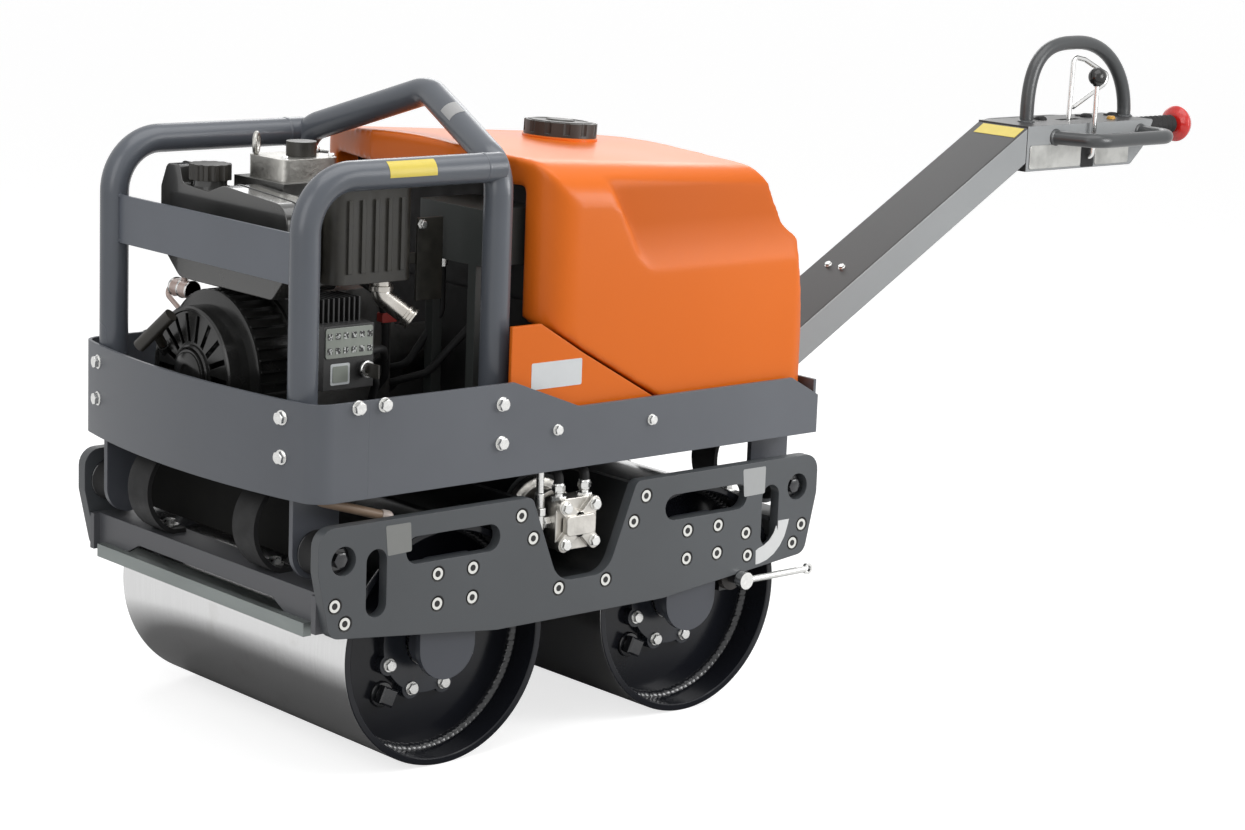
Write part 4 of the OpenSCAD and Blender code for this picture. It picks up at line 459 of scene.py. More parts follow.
WELD_STEPS = 120
PLUG_OFF = 83.4
for name, axle in AXLES.items():
    ripples = []
    for side in (-1, 1):
        for k in range(WELD_STEPS):
            a = 2 * math.pi * k / WELD_STEPS
            outward = Vector((math.cos(a), 0, math.sin(a)))
            wobble = 0.42 * math.sin(k * 2.4)
            point = Vector((axle, side * (DISC_FACE + 3.4), DRUM_R)) + outward * (SHELL_IN - 3.6 + wobble)
            ripples.append((point, (-outward + Vector((0, side, 0))).normalized(),
                            outward.cross(Vector((0, 1, 0))) + 0.3 * outward))
    bead = bmesh.new()
    bmesh.ops.create_icosphere(bead, subdivisions=2, radius=1)
    bmesh.ops.scale(bead, vec=(0.012, 0.009, 0.0036), verts=bead.verts)
    repeated(name + "_welds", bead, ripples, gloss_black, name, slot="black_paint")

    plugs = []
    for side in (-1, 1):
        x, z = axle - PLUG_OFF, DRUM_R - PLUG_OFF
        plugs.append(((x, side * (DISC_FACE - 1), z), (0, side, 0),
                      [(22, 0), (22, 4), (20, 6), (13, 7), (13, 10)], 32))
        plugs.append(((x, side * (DISC_FACE + 8), z), (0, side, 0),
                      [(20, 0), (21, 2), (21, 13), (17, 16)], 4, False, 0.35))
    turning(name + "_plugs", plugs, gloss_black, name, slot="black_paint", bevel=0.8)

# Hubs: lobed cast flanges in dark blue grey paint, each held by eight zinc plated hexagon bolts.
hub_paint = powder_coat("hub_paint", (0.020, 0.023, 0.030), 0.2)
dress(["front_drum_hubs", "rear_drum_hubs"], hub_paint)
dress(["drum_carriers"], powder_coat("carrier_paint", (0.060, 0.065, 0.078), 0.34))


def speckled(name, low, high, scale, detail=3, rough=None, span=0.7, grain=None, rounding=None, pits=None,
             stretch=(1, 1, 1), **fixed):
    """A material whose tone, and roughness if given, follows one noise, with the same or other pits."""
    finish = Finish(name, **fixed)
    spots = finish.noise(scale, detail, stretch)
    finish.feed(base_color=finish.blend(spots, low, high))
    if rough:
        finish.feed(roughness=finish.ramp(spots, (0.3, rough[0]), (span, rough[1])))
    if grain:
        finish.feed(normal=finish.bump(finish.noise(*pits) if pits else spots, grain, rounding))
    return finish.material


zinc = speckled("zinc", (0.60, 0.60, 0.59), (0.84, 0.84, 0.82), 160, rough=(0.22, 0.36), grain=0.00006,
                metallic=1.0)


def hexagon_head(shape, across, height, washer):
    """A chamfered hexagon head on its washer, standing on z = 0 at the pattern's origin."""
    lathe(shape, (0, 0, 0), (0, 0, 1), [(washer, 0), (washer, 1.6), (washer - 0.5, 2.1)], 24)
    flat = across / 2
    crown = flat * 0.93
    low, high, top = [], [], []
    for i in range(24):
        a = 2 * math.pi * i / 24
        reach = flat / math.cos((a + math.pi / 6) % (math.pi / 3) - math.pi / 6)
        x, y = reach * math.cos(a), reach * math.sin(a)
        low.append(shape.verts.new(at(x, y, 1.5)))
        high.append(shape.verts.new(at(x, y, height - (reach - crown) * 0.6)))
    for i in range(24):
        a = 2 * math.pi * i / 24
        top.append(shape.verts.new(at(crown * math.cos(a), crown * math.sin(a), height)))
    for i in range(24):
        j = (i + 1) % 24
        shape.faces.new((low[i], low[j], high[j], high[i]))
        shape.faces.new((high[i], high[j], top[j], top[i]))
    shape.faces.new(low)
    shape.faces.new(top)


def bolts(name, sizes, spots, body="machine", replaces=()):
    """Zinc plated hexagon bolts: their sizes are across the flats, height and washer radius."""
    head = at_origin(hexagon_head, *sizes)
    repeated(name, head, spots, zinc, body, replaces=replaces, slot="zinc", crease=25)


HUB_BOLT_R = 85
for name, axle in AXLES.items():
    spots = []
    for side in (-1, 1):
        for i in range(8):
            a = 2 * math.pi / 8 * (i + 0.5)
            point = (axle + HUB_BOLT_R * math.cos(a), side * 279, DRUM_R + HUB_BOLT_R * math.sin(a))
            spots.append((point, (0, side, 0), (math.cos(3 * a), 0, math.sin(3 * a))))
    group = "front_hub_bolts" if axle < 0 else "rear_hub_bolts"
    bolts(name + "_hub_bolts", (17, 9, 11.5), spots, name, [group])

# Side plate screws: socket heads sunk in counterbores. All of a screw below the plate's face is painted black
# as painted shade of the recess, leaving bright rings round a dark centre; each sits in a black ring of
# painted shade in its bore.
PLATE_FACE = 349.2
screw_finish = Finish("socket_screw")
x, y, z = screw_finish.axes()
sunk_in_shade = abs(y) < (PLATE_FACE - 0.1) / 1000
screw_finish.feed(
    base_color=screw_finish.blend(sunk_in_shade, (0.70, 0.70, 0.67), (0.006, 0.006, 0.006)),
    metallic=1 - sunk_in_shade,
    roughness=screw_finish.noise(200, 2) * 0.14 + 0.26,
)
dress(["side_plate_bolts"], screw_finish.material)
black_oxide = speckled("black_oxide", (0.006, 0.006, 0.006), (0.018, 0.018, 0.018), 120, grain=0.0001,
                       roughness=0.55)
screws = ((505, 305), (485, 274), (233, 280), (233, 329), (304, 280), (304, 329), (135, 402), (109, 361),
          (51, 269))
spots = [((way * x, side * PLATE_FACE, z), (0, side, 0), (1, 0, 0))
         for side in (-1, 1) for way in (-1, 1) for x, z in screws]
spots += [((x, -PLATE_FACE, z), (0, -1, 0), (1, 0, 0)) for x, z in ((371, 307), (377, 266))]


# Black rings in the counterbores and black discs over the sockets: painted shade in the bores, partly black.
def bore_ring(shape):
    ring = [(10.1, -3), (13.5, -3), (13.5, 0.7), (13.1, 0.9), (10.6, -1.2), (10.1, -1.6)]
    lathe(shape, (0, 0, 0), (0, 0, 1), ring, 32, True)
    lathe(shape, (0, 0, 0), (0, 0, 1), [(5.4, -1), (5.4, 0.3)], 24)


repeated("bore_rings", at_origin(bore_ring), spots, black_oxide, slot="black_paint")


# Cross beams and scrapers: folded and painted sheet, with a bare plated bar and blade at each drum.
plated_bar = speckled("plated_bar", (0.17, 0.19, 0.185), (0.34, 0.37, 0.36), 30, 4, (0.34, 0.5), grain=0.0002,
                      rounding=0.0012, stretch=(1, 0.25, 1), metallic=0.55)
dress(["scrapers"], plated_bar)
# The beams take a slightly darker copy of the frame's grey, as painted shade.
dress(["cross_beams"], powder_coat("beam_paint", (0.088, 0.090, 0.098), 0.4))

# Exciter: a black painted trough and tube between the side plates. The motor on its near end is cast
# aluminium with a cross shaped cover plate, four zinc plated bolts and plated pipe fittings.
trough_paint = powder_coat("trough_paint", (0.012, 0.013, 0.014), 0.4)
dress(["exciter_frame", "exciter_housing"], trough_paint)
dress(["eccentric_shaft", "bearings"], zinc)


def cast_metal(name, tone, rough, grain=0.0005):
    cast = Finish(name, metallic=1.0)
    pits = cast.noise(170, 5)
    soil = cast.noise(22, 4)
    cast.feed(
        base_color=cast.blend(cast.ramp(soil, (0.42, 0), (0.78, 0.75)), tone, [c * 0.42 for c in tone]),
        roughness=cast.ramp(pits, (0.3, rough), (0.75, rough + 0.16)),
        normal=cast.bump(pits, grain, 0.0015),
    )
    return cast.material


def prism(shape, axis, outline, low, high):
    """Extrudes an outline in millimetres along an axis of the machine."""
    def spot(u, v, w):
        return at(*{"x": (w, u, v), "y": (u, w, v), "z": (u, v, w)}[axis])

    rings = [[shape.verts.new(spot(u, v, w)) for u, v in outline] for w in (low, high)]
    for i in range(len(outline)):
        j = (i + 1) % len(outline)
        shape.faces.new((rings[0][i], rings[0][j], rings[1][j], rings[1][i]))
    shape.faces.new(rings[0])
    shape.faces.new(rings[1])


def box(shape, x0, x1, y0, y1, z0, z1):
    prism(shape, "z", [(x0, y0), (x1, y0), (x1, y1), (x0, y1)], z0, z1)


def rounded(points, radii, steps=6):
    """An outline whose corners are arcs."""
    made = []
    for i, corner in enumerate(points):
        radius = radii if isinstance(radii, (int, float)) else radii[i]
        corner = Vector(corner)
        before = (Vector(points[i - 1]) - corner).normalized()
        after = (Vector(points[(i + 1) % len(points)]) - corner).normalized()
        if radius == 0:
            made.append(tuple(corner))
            continue
        half = before.angle(after) / 2
        centre = corner + (before + after).normalized() * radius / math.sin(half)
        first = corner + before * radius / math.tan(half) - centre
        last = corner + after * radius / math.tan(half) - centre
        for k in range(steps + 1):
            a = first.angle_signed(last) * k / steps
            made.append(tuple(centre + Vector((first.x * math.cos(a) + first.y * math.sin(a),
                                               first.y * math.cos(a) - first.x * math.sin(a)))))
    return made


def rectangle(u0, u1, v0, v1, radius=0):
    return rounded([(u0, v0), (u1, v0), (u1, v1), (u0, v1)], radius)


def plate(name, axis, outline, low, high, finish, body="machine", **rest):
    """A piece that is one outline extruded along an axis of the machine."""
    shape = bmesh.new()
    prism(shape, axis, outline, low, high)
    return piece(name, shape, finish, body, **rest)


SHAFT_UP = 368
motor = bmesh.new()
lathe(motor, (0, -215, SHAFT_UP), (0, -1, 0),
      [(60, 0), (60, 13), (57, 15), (44, 16), (41, 24), (41, 78), (44, 81)], 48)
prism(motor, "y", rectangle(-44, 44, SHAFT_UP - 44, SHAFT_UP + 44, 15), -328, -292)
for a in (0.785, 2.356):
    cross = rounded([(-58, -12), (-20, -12), (-12, -20), (12, -20), (20, -12), (58, -12), (58, 12), (20, 12),
                     (12, 20), (-12, 20), (-20, 12), (-58, 12)], [11, 4, 4, 4, 4, 11] * 2, 4)
    cross = [(u * math.cos(a) - v * math.sin(a), SHAFT_UP + u * math.sin(a) + v * math.cos(a))
             for u, v in cross]
    prism(motor, "y", cross, -338, -326)
prism(motor, "y", rectangle(-31, 31, SHAFT_UP - 17, SHAFT_UP + 17, 8), -343, -330)
lathe(motor, (0, -262, SHAFT_UP), (0, -1, 0), [(46, 0), (47, 2), (47, 6), (46, 8)], 40)
piece("motor_body", motor, cast_metal("cast_bright", (0.62, 0.60, 0.56), 0.30), replaces=["exciter_motor"],
      slot="machined", bevel=1.6, steps=3)
bolts("motor_bolts", (16, 8, 10), [((sx * 31, -338, SHAFT_UP + sz * 31), (0, -1, 0), (1, 0, 0.3 * sx))
                                   for sx in (-1, 1) for sz in (-1, 1)])

pipe_tree, given, result = new_tree("pipe", {
    "Radius": "Float", "Bend radius": "Float", "Bend steps": "Int", "Sides": "Int", "Finish": "Material"})
line = add(pipe_tree, "GeometryNodeMeshToCurve", {"Mesh": given.outputs["Geometry"]})
line = add(pipe_tree, "GeometryNodeFilletCurve",
           {"Curve": line, "Radius": given.outputs["Bend radius"], "Limit Radius": True,
            "Count": given.outputs["Bend steps"]}, mode="POLY")
ring = add(pipe_tree, "GeometryNodeCurvePrimitiveCircle",
           {"Resolution": given.outputs["Sides"], "Radius": given.outputs["Radius"]})
tube = add(pipe_tree, "GeometryNodeCurveToMesh", {"Curve": line, "Profile Curve": ring, "Fill Caps": True})
real = add(pipe_tree, "GeometryNodeRealizeInstances", {"Geometry": tube})
painted = add(pipe_tree, "GeometryNodeSetMaterial", {"Geometry": real, "Material": given.outputs["Finish"]})
pipe_tree.links.new(painted, result.inputs[0])


def piped(name, routes, radius, bend, finish, sides=24, bend_steps=10, body="machine", **rest):
    """Round bars or tubes along routes of points in millimetres, with rounded bends."""
    lines = bmesh.new()
    for route in routes:
        knots = [lines.verts.new(at(*point)) for point in route]
        for first, second in zip(knots, knots[1:]):
            lines.edges.new((first, second))
    source = bpy.data.meshes.new(name)
    lines.to_mesh(source)
    lines.free()
    made = grown(name, pipe_tree, source, radius=radius / 1000, bend_radius=bend / 1000,
                 bend_steps=bend_steps, sides=sides, finish=finish)
    return settle(name, made, None, body, **rest)


rubber = speckled("rubber", (0.010, 0.010, 0.011), (0.030, 0.030, 0.030), 40, 4, (0.5, 0.72), grain=0.0001,
                  pits=(700, 2), specular_ior_level=0.25)

# Two hoses run from the motor's ports up to the deck; their ends are plated crimped ferrules and nuts.
UP = (0, 0, 1)
routes, fittings = [], []
for x in (-28, 28):
    routes.append([(x, -313, 432), (x, -313, 455), (x, -190, 455), (x, -190, 470)])
    crimp = [(8, 0), (8, 5), (9.5, 6), (9.5, 9), (8, 10), (9.6, 11), (9.6, 20), (8.6, 22)]
    fittings += [((x, -313, 406), UP, [(14, 0), (14, 9), (12.5, 10)], 6),
                 ((x, -313, 415), UP, crimp, 24),
                 ((x, -313, 424), UP, [(11.5, 0), (11.5, 8), (10.5, 9)], 6, False, 0.4)]
piped("motor_hoses", routes, 8, 13, rubber, 20, replaces=["hydraulic_hoses"], slot="rubber")
fittings += [((-44, -306, 372), (-1, 0, 0), [(11, 0), (11, 10), (10, 11)], 6),
             ((-62, -306, 360), UP, [(8, 0), (9, 1), (9, 24), (8, 25)], 20),
             ((-62, -306, 385), UP, [(11, 0), (11, 12), (10, 13)], 6),
             ((-62, -306, 398), UP, [(7, 0), (8.4, 2), (8.4, 24), (6.5, 26), (6.5, 72)], 20)]
turning("motor_fittings", fittings, zinc, slot="zinc", bevel=0.5)

# Limit straps, rubber mounts, leg brackets and the parking brake's bracket, between the lower frame and
# the deck. The straps are rubbered webbing and the mounts are rubber bonded to steel discs.
dress(["limit_straps"], rubber)
# The leg brackets take a darker copy of the frame's grey, as painted shade.
dress(["leg_brackets"], powder_coat("leg_paint", (0.085, 0.091, 0.106), 0.3))
dress(["brake_bracket"], powder_coat("bracket_paint", (0.030, 0.026, 0.024), 0.45))
# The brake lever is plated outside the side plate and painted near black inside it, as painted shade.
brake_plating = Finish("brake_plating")
x, y, z = brake_plating.axes()
shaded_inside = y > -0.3505
plated = brake_plating.blend(brake_plating.noise(160, 3), (0.60, 0.60, 0.59), (0.84, 0.84, 0.82))
brake_plating.feed(
    base_color=brake_plating.blend(shaded_inside, plated, (0.02, 0.02, 0.022)),
    metallic=1 - shaded_inside,
    roughness=shaded_inside * 0.1 + 0.26,
)
dress(["brake_lever"], brake_plating.material)
waist = [(35, 3.6), (36, 5), (33.4, 12), (31.4, 22), (31, 27), (31.4, 32), (33.4, 42), (36, 49), (35, 51.4)]
mounts, discs = [], []
for x in (-490, 490):
    for side in (-1, 1):
        start, out = (x, side * 275, 375), (0, side, 0)
        mounts.append((start, out, waist, 48))
        discs += [(start, out, [(34, 0), (36, 1), (36, 3), (35, 4)], 48),
                  (start, out, [(35, 51), (36, 52), (36, 54.4), (34, 55)], 48),
                  (start, out, [(19, 55), (19, 61), (13, 61), (13, 69), (11, 70)], 6)]
turning("mount_rubbers", mounts, rubber, replaces=["rubber_mounts"], slot="rubber")
# The mounts' steel discs and nuts are gloss black, as painted shade of the access holes they sit in.
turning("mount_discs", discs, gloss_black, slot="black_paint")
bolts("strap_bolts", (18.4, 10.5, 16), [
    ((x + 13, side * 154, z), (0, 0, way), (1, 0.3, 0))
    for x in (-494, 494) for side in (-1, 1) for z, way in ((328, 1), (462, -1))])

# Drain pipe: a short rigid tan pipe of the engine, closed by a pale rounded cap at the front left leg.
tan = speckled("tan_pipe", (0.30, 0.20, 0.13), (0.44, 0.32, 0.24), 30, roughness=0.4)
piped("drain_pipe", [[(-500, -290, 471), (-494, -291, 459), (-381, -314.5, 425.5)]], 8, 10, tan,
      slot="rubber")
turning("drain_cap", [((-392, -312.2, 429.1), (113, -23.5, -33.5),
                       [(9, 0), (9.6, 1), (9.6, 12), (8.8, 16), (6.4, 19.4), (0, 21)], 32)],
        speckled("pale_cap", (0.62, 0.52, 0.46), (0.76, 0.68, 0.63), 60, 2, roughness=0.35))


# Stickers: printed foil with rounded corners, laid on the paint. They are left plain.
def sticker(name, corners, face, tone, radius=3):
    foil = speckled(name, [c * 0.93 for c in tone], tone, 60, grain=0.0001, roughness=0.32, coat_weight=0.2)
    plate(name, "y", rounded(corners, radius), face - 0.4, face + 0.3, foil)


sticker("lift_sticker_rear", [(357, 421), (411, 421), (411, 373), (362, 372)], -350, (0.42, 0.43, 0.43))
# The front lift sticker is the rear one in a darker tone, as painted shade.
sticker("lift_sticker_front", [(-410, 421), (-361, 421), (-358, 374), (-405, 372)], -350,
        (0.24, 0.245, 0.235))
pivot_x, pivot_z = 398, 324
bend = [(473.5, 319), (447, 319), (447, 301)]
bend += [(pivot_x + 49 * math.sin(a) - 2, pivot_z - 49 * math.cos(a)) for a in (1.3, 1.0, 0.7, 0.4, 0.15)]
bend += [(396, 272), (397, 247)]
bend += [(pivot_x + 74 * math.sin(a), pivot_z - 77 * math.cos(a)) for a in (0.1, 0.35, 0.6, 0.85, 1.1, 1.35)]
sticker("brake_sticker", bend, -350, (0.74, 0.75, 0.75), radius=0)

# Shade sheet: a near-black sheet hanging from the deck in front of the front drum, as painted shade for the
# dark space under the deck.
splash_black = speckled("splash_black", (0.004, 0.004, 0.004), (0.010, 0.010, 0.009), 20, roughness=0.7,
                        specular_ior_level=0.08)
plate("splash_sheet", "x", rectangle(-262, 262, 345, 469, 4), -472, -469, splash_black, slot="rubber")


# Skirt and bumper bolts: zinc plated hexagon heads on wide washers.
def on_skirt(run, lift):
    """A place along the machine and a height, from shares of the skirt's length and height."""
    return 540 - 980 * run, 466 + 156 * lift


wide, small = [], []
for side in (-1, 1):
    for run, lift in ((0.97, 0.94), (0.73, 0.79), (0.73, 0.38), (1.021, 0.94)):
        x, z = on_skirt(run, lift)
        wide.append(((x, side * 340, z), (0, side, 0), (math.cos(x), 0, math.sin(x))))
    for run, lift in ((0.61, 0.44), (0.40, 0.41)):
        x, z = on_skirt(run, lift)
        small.append(((x, side * 340, z), (0, side, 0), (1, 0, 0.3)))
    for lift in (0.82, 0.42):
        x, z = on_skirt(0, lift)
        wide.append(((-551.4, side * 266, z), (-1, side * 0.177, 0), (0, 0.3, 1)))
bolts("skirt_bolt_heads", (18, 10, 12), wide, replaces=["skirt_bolts"])
bolts("skirt_small_heads", (14, 8, 9.5), small)

# Cage: bent steel tube in the frame's paint, welded where the rails meet the rear hoop and at its feet.
cage_paint = powder_coat("cage_paint", (0.098, 0.108, 0.126), 0.22)
dress(["cage"], cage_paint)
dress(["cage_front_plate"], powder_coat("guard_paint", (0.108, 0.120, 0.143), 0.26))
bead_section = [(23, -4), (24.5, -2.6), (25.0, 0), (24.5, 2.6), (23, 4)]
beads = []
for side in (-1, 1):
    beads.append(((-176, side * 272, 962), (1, 0, 0), bead_section, 40))
    beads += [((x, side * 272, 489), UP, bead_section, 40) for x in (-518, -141)]
    beads += [((-521, side * 249, z), (0, side, 0), [(4, -4), (5, 0), (4, 4)], 16) for z in (798, 872)]
turning("cage_welds", beads, cage_paint, slot="frame_paint")


def tube_patch(name, start, end, radius, low, high, tone):
    """A plain sticker that wraps part of a straight tube between two points of its axis."""
    foil = speckled(name, [c * 0.92 for c in tone], tone, 60, roughness=0.35)
    along = (Vector(end) - Vector(start)).normalized()
    across = along.cross(Vector((0, 0, 1))).normalized()
    arc = [math.radians(low + (high - low) * k / 12) for k in range(13)]
    shape = bmesh.new()
    rings = []
    for point in (start, end):
        for reach in (radius, radius - 1.2):
            rings.append([shape.verts.new(at(*(Vector(point) + reach * (
                across * math.cos(a) + across.cross(along) * math.sin(a))))) for a in arc])
    outer, inner, far_outer, far_inner = rings
    loop = outer + inner[::-1]
    far_loop = far_outer + far_inner[::-1]
    for k in range(len(loop)):
        j = (k + 1) % len(loop)
        shape.faces.new((loop[k], loop[j], far_loop[j], far_loop[k]))
    for near, far in ((outer, inner), (far_outer, far_inner)):
        for k in range(12):
            shape.faces.new((near[k], near[k + 1], far[k + 1], far[k]))
    piece(name, shape, foil)


tube_patch("rail_sticker", (-376, -272, 962), (-284, -272, 962), 24.5, -8, 60, (0.76, 0.60, 0.09))
tube_patch("roof_sticker", (-99, -94, 1024.2), (-107, -128, 1012.3), 24.5, 20, 95, (0.40, 0.40, 0.40))

# Water tank: rotationally moulded polyethylene in gloss orange. Its side, plan and cross profiles are cut
# from one another, and the edges are then melted round as they come out of the mould.
moulded = Finish("orange_moulding", coat_roughness=0.12, specular_ior_level=0.2)
fade = moulded.noise(2.5, 2)
x, y, z = moulded.axes()
# Painted shade: the side recesses are darker, and are also rougher with less coat.
recess_shade = moulded.ramp(abs(y), (0.255, 0), (0.262, 1), (0.3175, 1), (0.3243, 0)) * moulded.ramp(
    x + z * 0.505 + 0.6532, (0.494, 0), (0.506, 1)) * moulded.ramp(z, (0.915, 1), (0.945, 0))
orange = moulded.blend(fade, (0.72, 0.142, 0.008), (0.80, 0.170, 0.014))
moulded.feed(
    base_color=moulded.blend(recess_shade * 0.42, orange, (0.34, 0.055, 0.001)),
    roughness=moulded.ramp(fade, (0.3, 0.30), (0.7, 0.38)) + recess_shade * 0.25,
    coat_weight=(1 - recess_shade) * 0.1,
    normal=moulded.bump(moulded.noise(260, 3), 0.00012, 0.004),
)
TANK_X, TANK_L, TANK_Z, TANK_H, TANK_HALF = -112, 639, 478, 509, 325
CAP_X, CROWN_Z, SHOULDER_Z = 213, 966.55, 947.5
FALL = math.radians(3.6)
RECESS_LEAN = 5.8


def on_tank(shares):
    return [(TANK_X + u * TANK_L, TANK_Z + v * TANK_H) for u, v in shares]


def tool(maker, *values):
    """A hidden object that a boolean modifier works with."""
    shape = bmesh.new()
    maker(shape, *values)
    bmesh.ops.recalc_face_normals(shape, faces=shape.faces)
    mesh = bpy.data.meshes.new("tool")
    shape.to_mesh(mesh)
    shape.free()
    item = bpy.data.objects.new("tool", mesh)
    bpy.context.scene.collection.objects.link(item)
    return item


def turned_about(item, centre, angle, axis):
    spin = Matrix.Translation(centre) @ Matrix.Rotation(angle, 4, axis) @ Matrix.Translation(-centre)
    item.data.transform(spin)
    return item


side_view = rounded(on_tank([
    (1, 0), (1, 0.241), (0.944, 0.655), (0.886, 0.712), (0.808, 0.948), (0, 1.02), (0, 0.471), (0.044, 0.463),
    (0.188, 0.353), (0.435, 0.179), (0.613, 0)]), [0, 150, 16, 8, 20, 0, 0, 0, 0, 0, 0], 8)
plan_half = [(TANK_X, 0.338 * TANK_HALF), (TANK_X + 0.081 * TANK_L, TANK_HALF), (TANK_X + TANK_L, TANK_HALF)]
plan_view = rounded(plan_half + [(x, -y) for x, y in plan_half[::-1]], [20, 60, 40, 40, 60, 20], 8)
end_view = rounded([(-TANK_HALF, 300), (TANK_HALF, 300), (TANK_HALF, SHOULDER_Z), (0, CROWN_Z),
                    (-TANK_HALF, SHOULDER_Z)], [0, 0, 70, 1500, 70], 12)
filler = at(CAP_X, 0, CROWN_Z)
tank = tool(prism, "y", side_view, -340, 340)
cuts = [("INTERSECT", tool(prism, "z", plan_view, 460, 1060)),
        ("INTERSECT", turned_about(tool(prism, "x", end_view, -300, 700), filler, FALL, "Y")),
        ("DIFFERENCE", tool(box, -120, -30, -260, 260, 470, 925))]
ridge = on_tank([(0.232, 0.97), (0.365, 0.639), (0.418, 0.584)])
panel = rounded(ridge + [(528, ridge[2][1]), (528, 1290), (ridge[0][0], 1290)], [0, 60, 40, 0, 0, 0], 6)
for side in (-1, 1):
    cutter = tool(prism, "y", panel, side * TANK_HALF, side * 700)
    foot = at(0, side * TANK_HALF, ridge[2][1])
    cuts.append(("DIFFERENCE", turned_about(cutter, foot, math.radians(side * RECESS_LEAN), "X")))
for operation, cutter in cuts:
    step = tank.modifiers.new("cut", "BOOLEAN")
    step.operation = operation
    step.object = cutter
    step.solver = "EXACT"
melt = tank.modifiers.new("melt", "REMESH")
melt.mode = "VOXEL"
melt.voxel_size = 0.005
soften = tank.modifiers.new("soften", "SMOOTH")
soften.factor = 0.6
soften.iterations = 9
body = bpy.data.meshes.new_from_object(tank.evaluated_get(bpy.context.evaluated_depsgraph_get()))
for item in [tank] + [cutter for _, cutter in cuts]:
    bpy.data.objects.remove(item)
orange_moulding = moulded.material
settle("tank_body", body, orange_moulding, "machine", replaces=["water_tank"], slot="orange_plastic",
       crease=80)
tilt = (math.sin(FALL), 0, math.cos(FALL))
collar = [(66, -6), (66, 0.6), (64, 1.4), (53, 1.6), (52, 3), (52, 14), (46, 14), (46, -6)]
turning("tank_neck", [((CAP_X, 0, 966.5), tilt, collar, 64)], orange_moulding, slot="orange_plastic")
dress(["side_covers"], orange_moulding)
sticker("data_plate", [(-104, 602), (3, 602), (3, 646), (-104, 646)], -325, (0.70, 0.72, 0.73))


# Moulded black plastic, for caps, the control box, the battery and the starter's handle.
def black_moulding(name, low, high, gloss):
    return speckled(name, low, high, 35, 4, (gloss, gloss + 0.12), span=0.75, grain=0.00008, rounding=0.0016,
                    pits=(500, 2))


cap_black = black_moulding("cap_black", (0.012, 0.011, 0.009), (0.034, 0.030, 0.024), 0.34)
dress(["tank_cap", "fuel_cap", "oil_cap", "battery", "starter_handle", "ignition_key"], cap_black)
crown = [(56, 0), (55, 2), (48, 3), (46, 1.4), (26, 1.4), (24, 4), (20, 5), (0, 5)]
turning("tank_cap_crown", [((CAP_X, 0, 992), tilt, crown, 64)], cap_black, "water_cap", slot="black_plastic")

# Engine bay: cast and painted metal, mostly dark, with a satin sheet steel hydraulic tank behind it.
cast_dark = cast_metal("cast_dark", (0.16, 0.16, 0.155), 0.36, 0.0004)
engine_black = black_moulding("engine_black", (0.008, 0.008, 0.008), (0.020, 0.020, 0.019), 0.16)
stove_black = speckled("stove_black", (0.010, 0.0095, 0.008), (0.038, 0.035, 0.027), 55, 5, (0.38, 0.56),
                       grain=0.00025, rounding=0.002)
dress(["hydraulic_tank"], powder_coat("tank_paint", (0.045, 0.050, 0.048), 0.34))
dress(["engine_block", "hydraulic_pump", "engine_cylinder"], cast_dark)
dress(["valve_cover"], cast_metal("cover_alloy", (0.50, 0.49, 0.46), 0.3, 0.0004))
dress(["flywheel"], zinc)
dress(["fan_housing", "starter_cover"], engine_black)
dress(["muffler"], stove_black)

# Fuel tank: two pressed steel halves in gloss black, seamed round the middle.
tank_gloss = speckled("tank_gloss", (0.020, 0.020, 0.019), (0.046, 0.045, 0.042), 12, rough=(0.18, 0.30),
                      grain=0.0002, pits=(30, 2), coat_weight=0.6, coat_roughness=0.05)
tank_shares = [(0, 0.3), (0.11, 0), (0.84, 0), (1, 0.34), (1, 1.0), (0.95, 1.27), (0.85, 1.27), (0.82, 1.07),
               (0.62, 1.04), (0.5, 1.14), (0, 1.06)]
fuel_outline = rounded([(-156 + u * 363, 747 + v * 146) for u, v in tank_shares],
                       [16, 16, 30, 30, 18, 14, 5, 10, 14, 40, 34], 6)
fuel = bmesh.new()
prism(fuel, "x", fuel_outline, -470, -402)
prism(fuel, "x", rectangle(-98, -46, 750, 904, 12), -404, -330)
lathe(fuel, (-436, 112, 870), UP, [(34, 0), (34, 14), (28, 18), (28, 55), (26, 56)], 48)
piece("fuel_tank_shell", fuel, tank_gloss, replaces=["fuel_tank"], slot="black_plastic", bevel=11, steps=5,
      crease=50)
middle = Vector((26, 824))
rim = [tuple(middle + (Vector(point) - middle) * 1.018) for point in fuel_outline]
plate("fuel_tank_seam", "x", rim, -439, -436, tank_gloss, slot="black_plastic", bevel=1)

# Exhaust: a bent stainless pipe with a rolled end and a clamp.
stainless = speckled("stainless", (0.38, 0.35, 0.31), (0.72, 0.70, 0.66), 26, 4, (0.20, 0.34), grain=0.0002,
                     metallic=1.0)
piped("exhaust_bend", [[(-293, -168, 775), (-293, -168, 749), (-259, -202, 715)]], 16, 20, stainless, 32,
      replaces=["exhaust_pipe"], slot="zinc")
way = Vector((36, -35, -36)).normalized()
tip = Vector((-257, -203, 713))
rolled = [(16, 0), (18.6, 1), (18.6, 5), (17, 6), (17, 11), (18.8, 12), (18.8, 15), (15, 15), (15, 3)]
turning("exhaust_ends", [(tip - way * 14, way, rolled, 36, True),
                         ((-293, -168, 757), UP, [(17, 0), (19.5, 1), (19.5, 9), (17, 10)], 36)],
        stainless, slot="zinc")
turning("exhaust_soot", [(tip - way * 3, way, [(15, 0), (15, 1)], 36)], black_oxide, slot="black_paint")

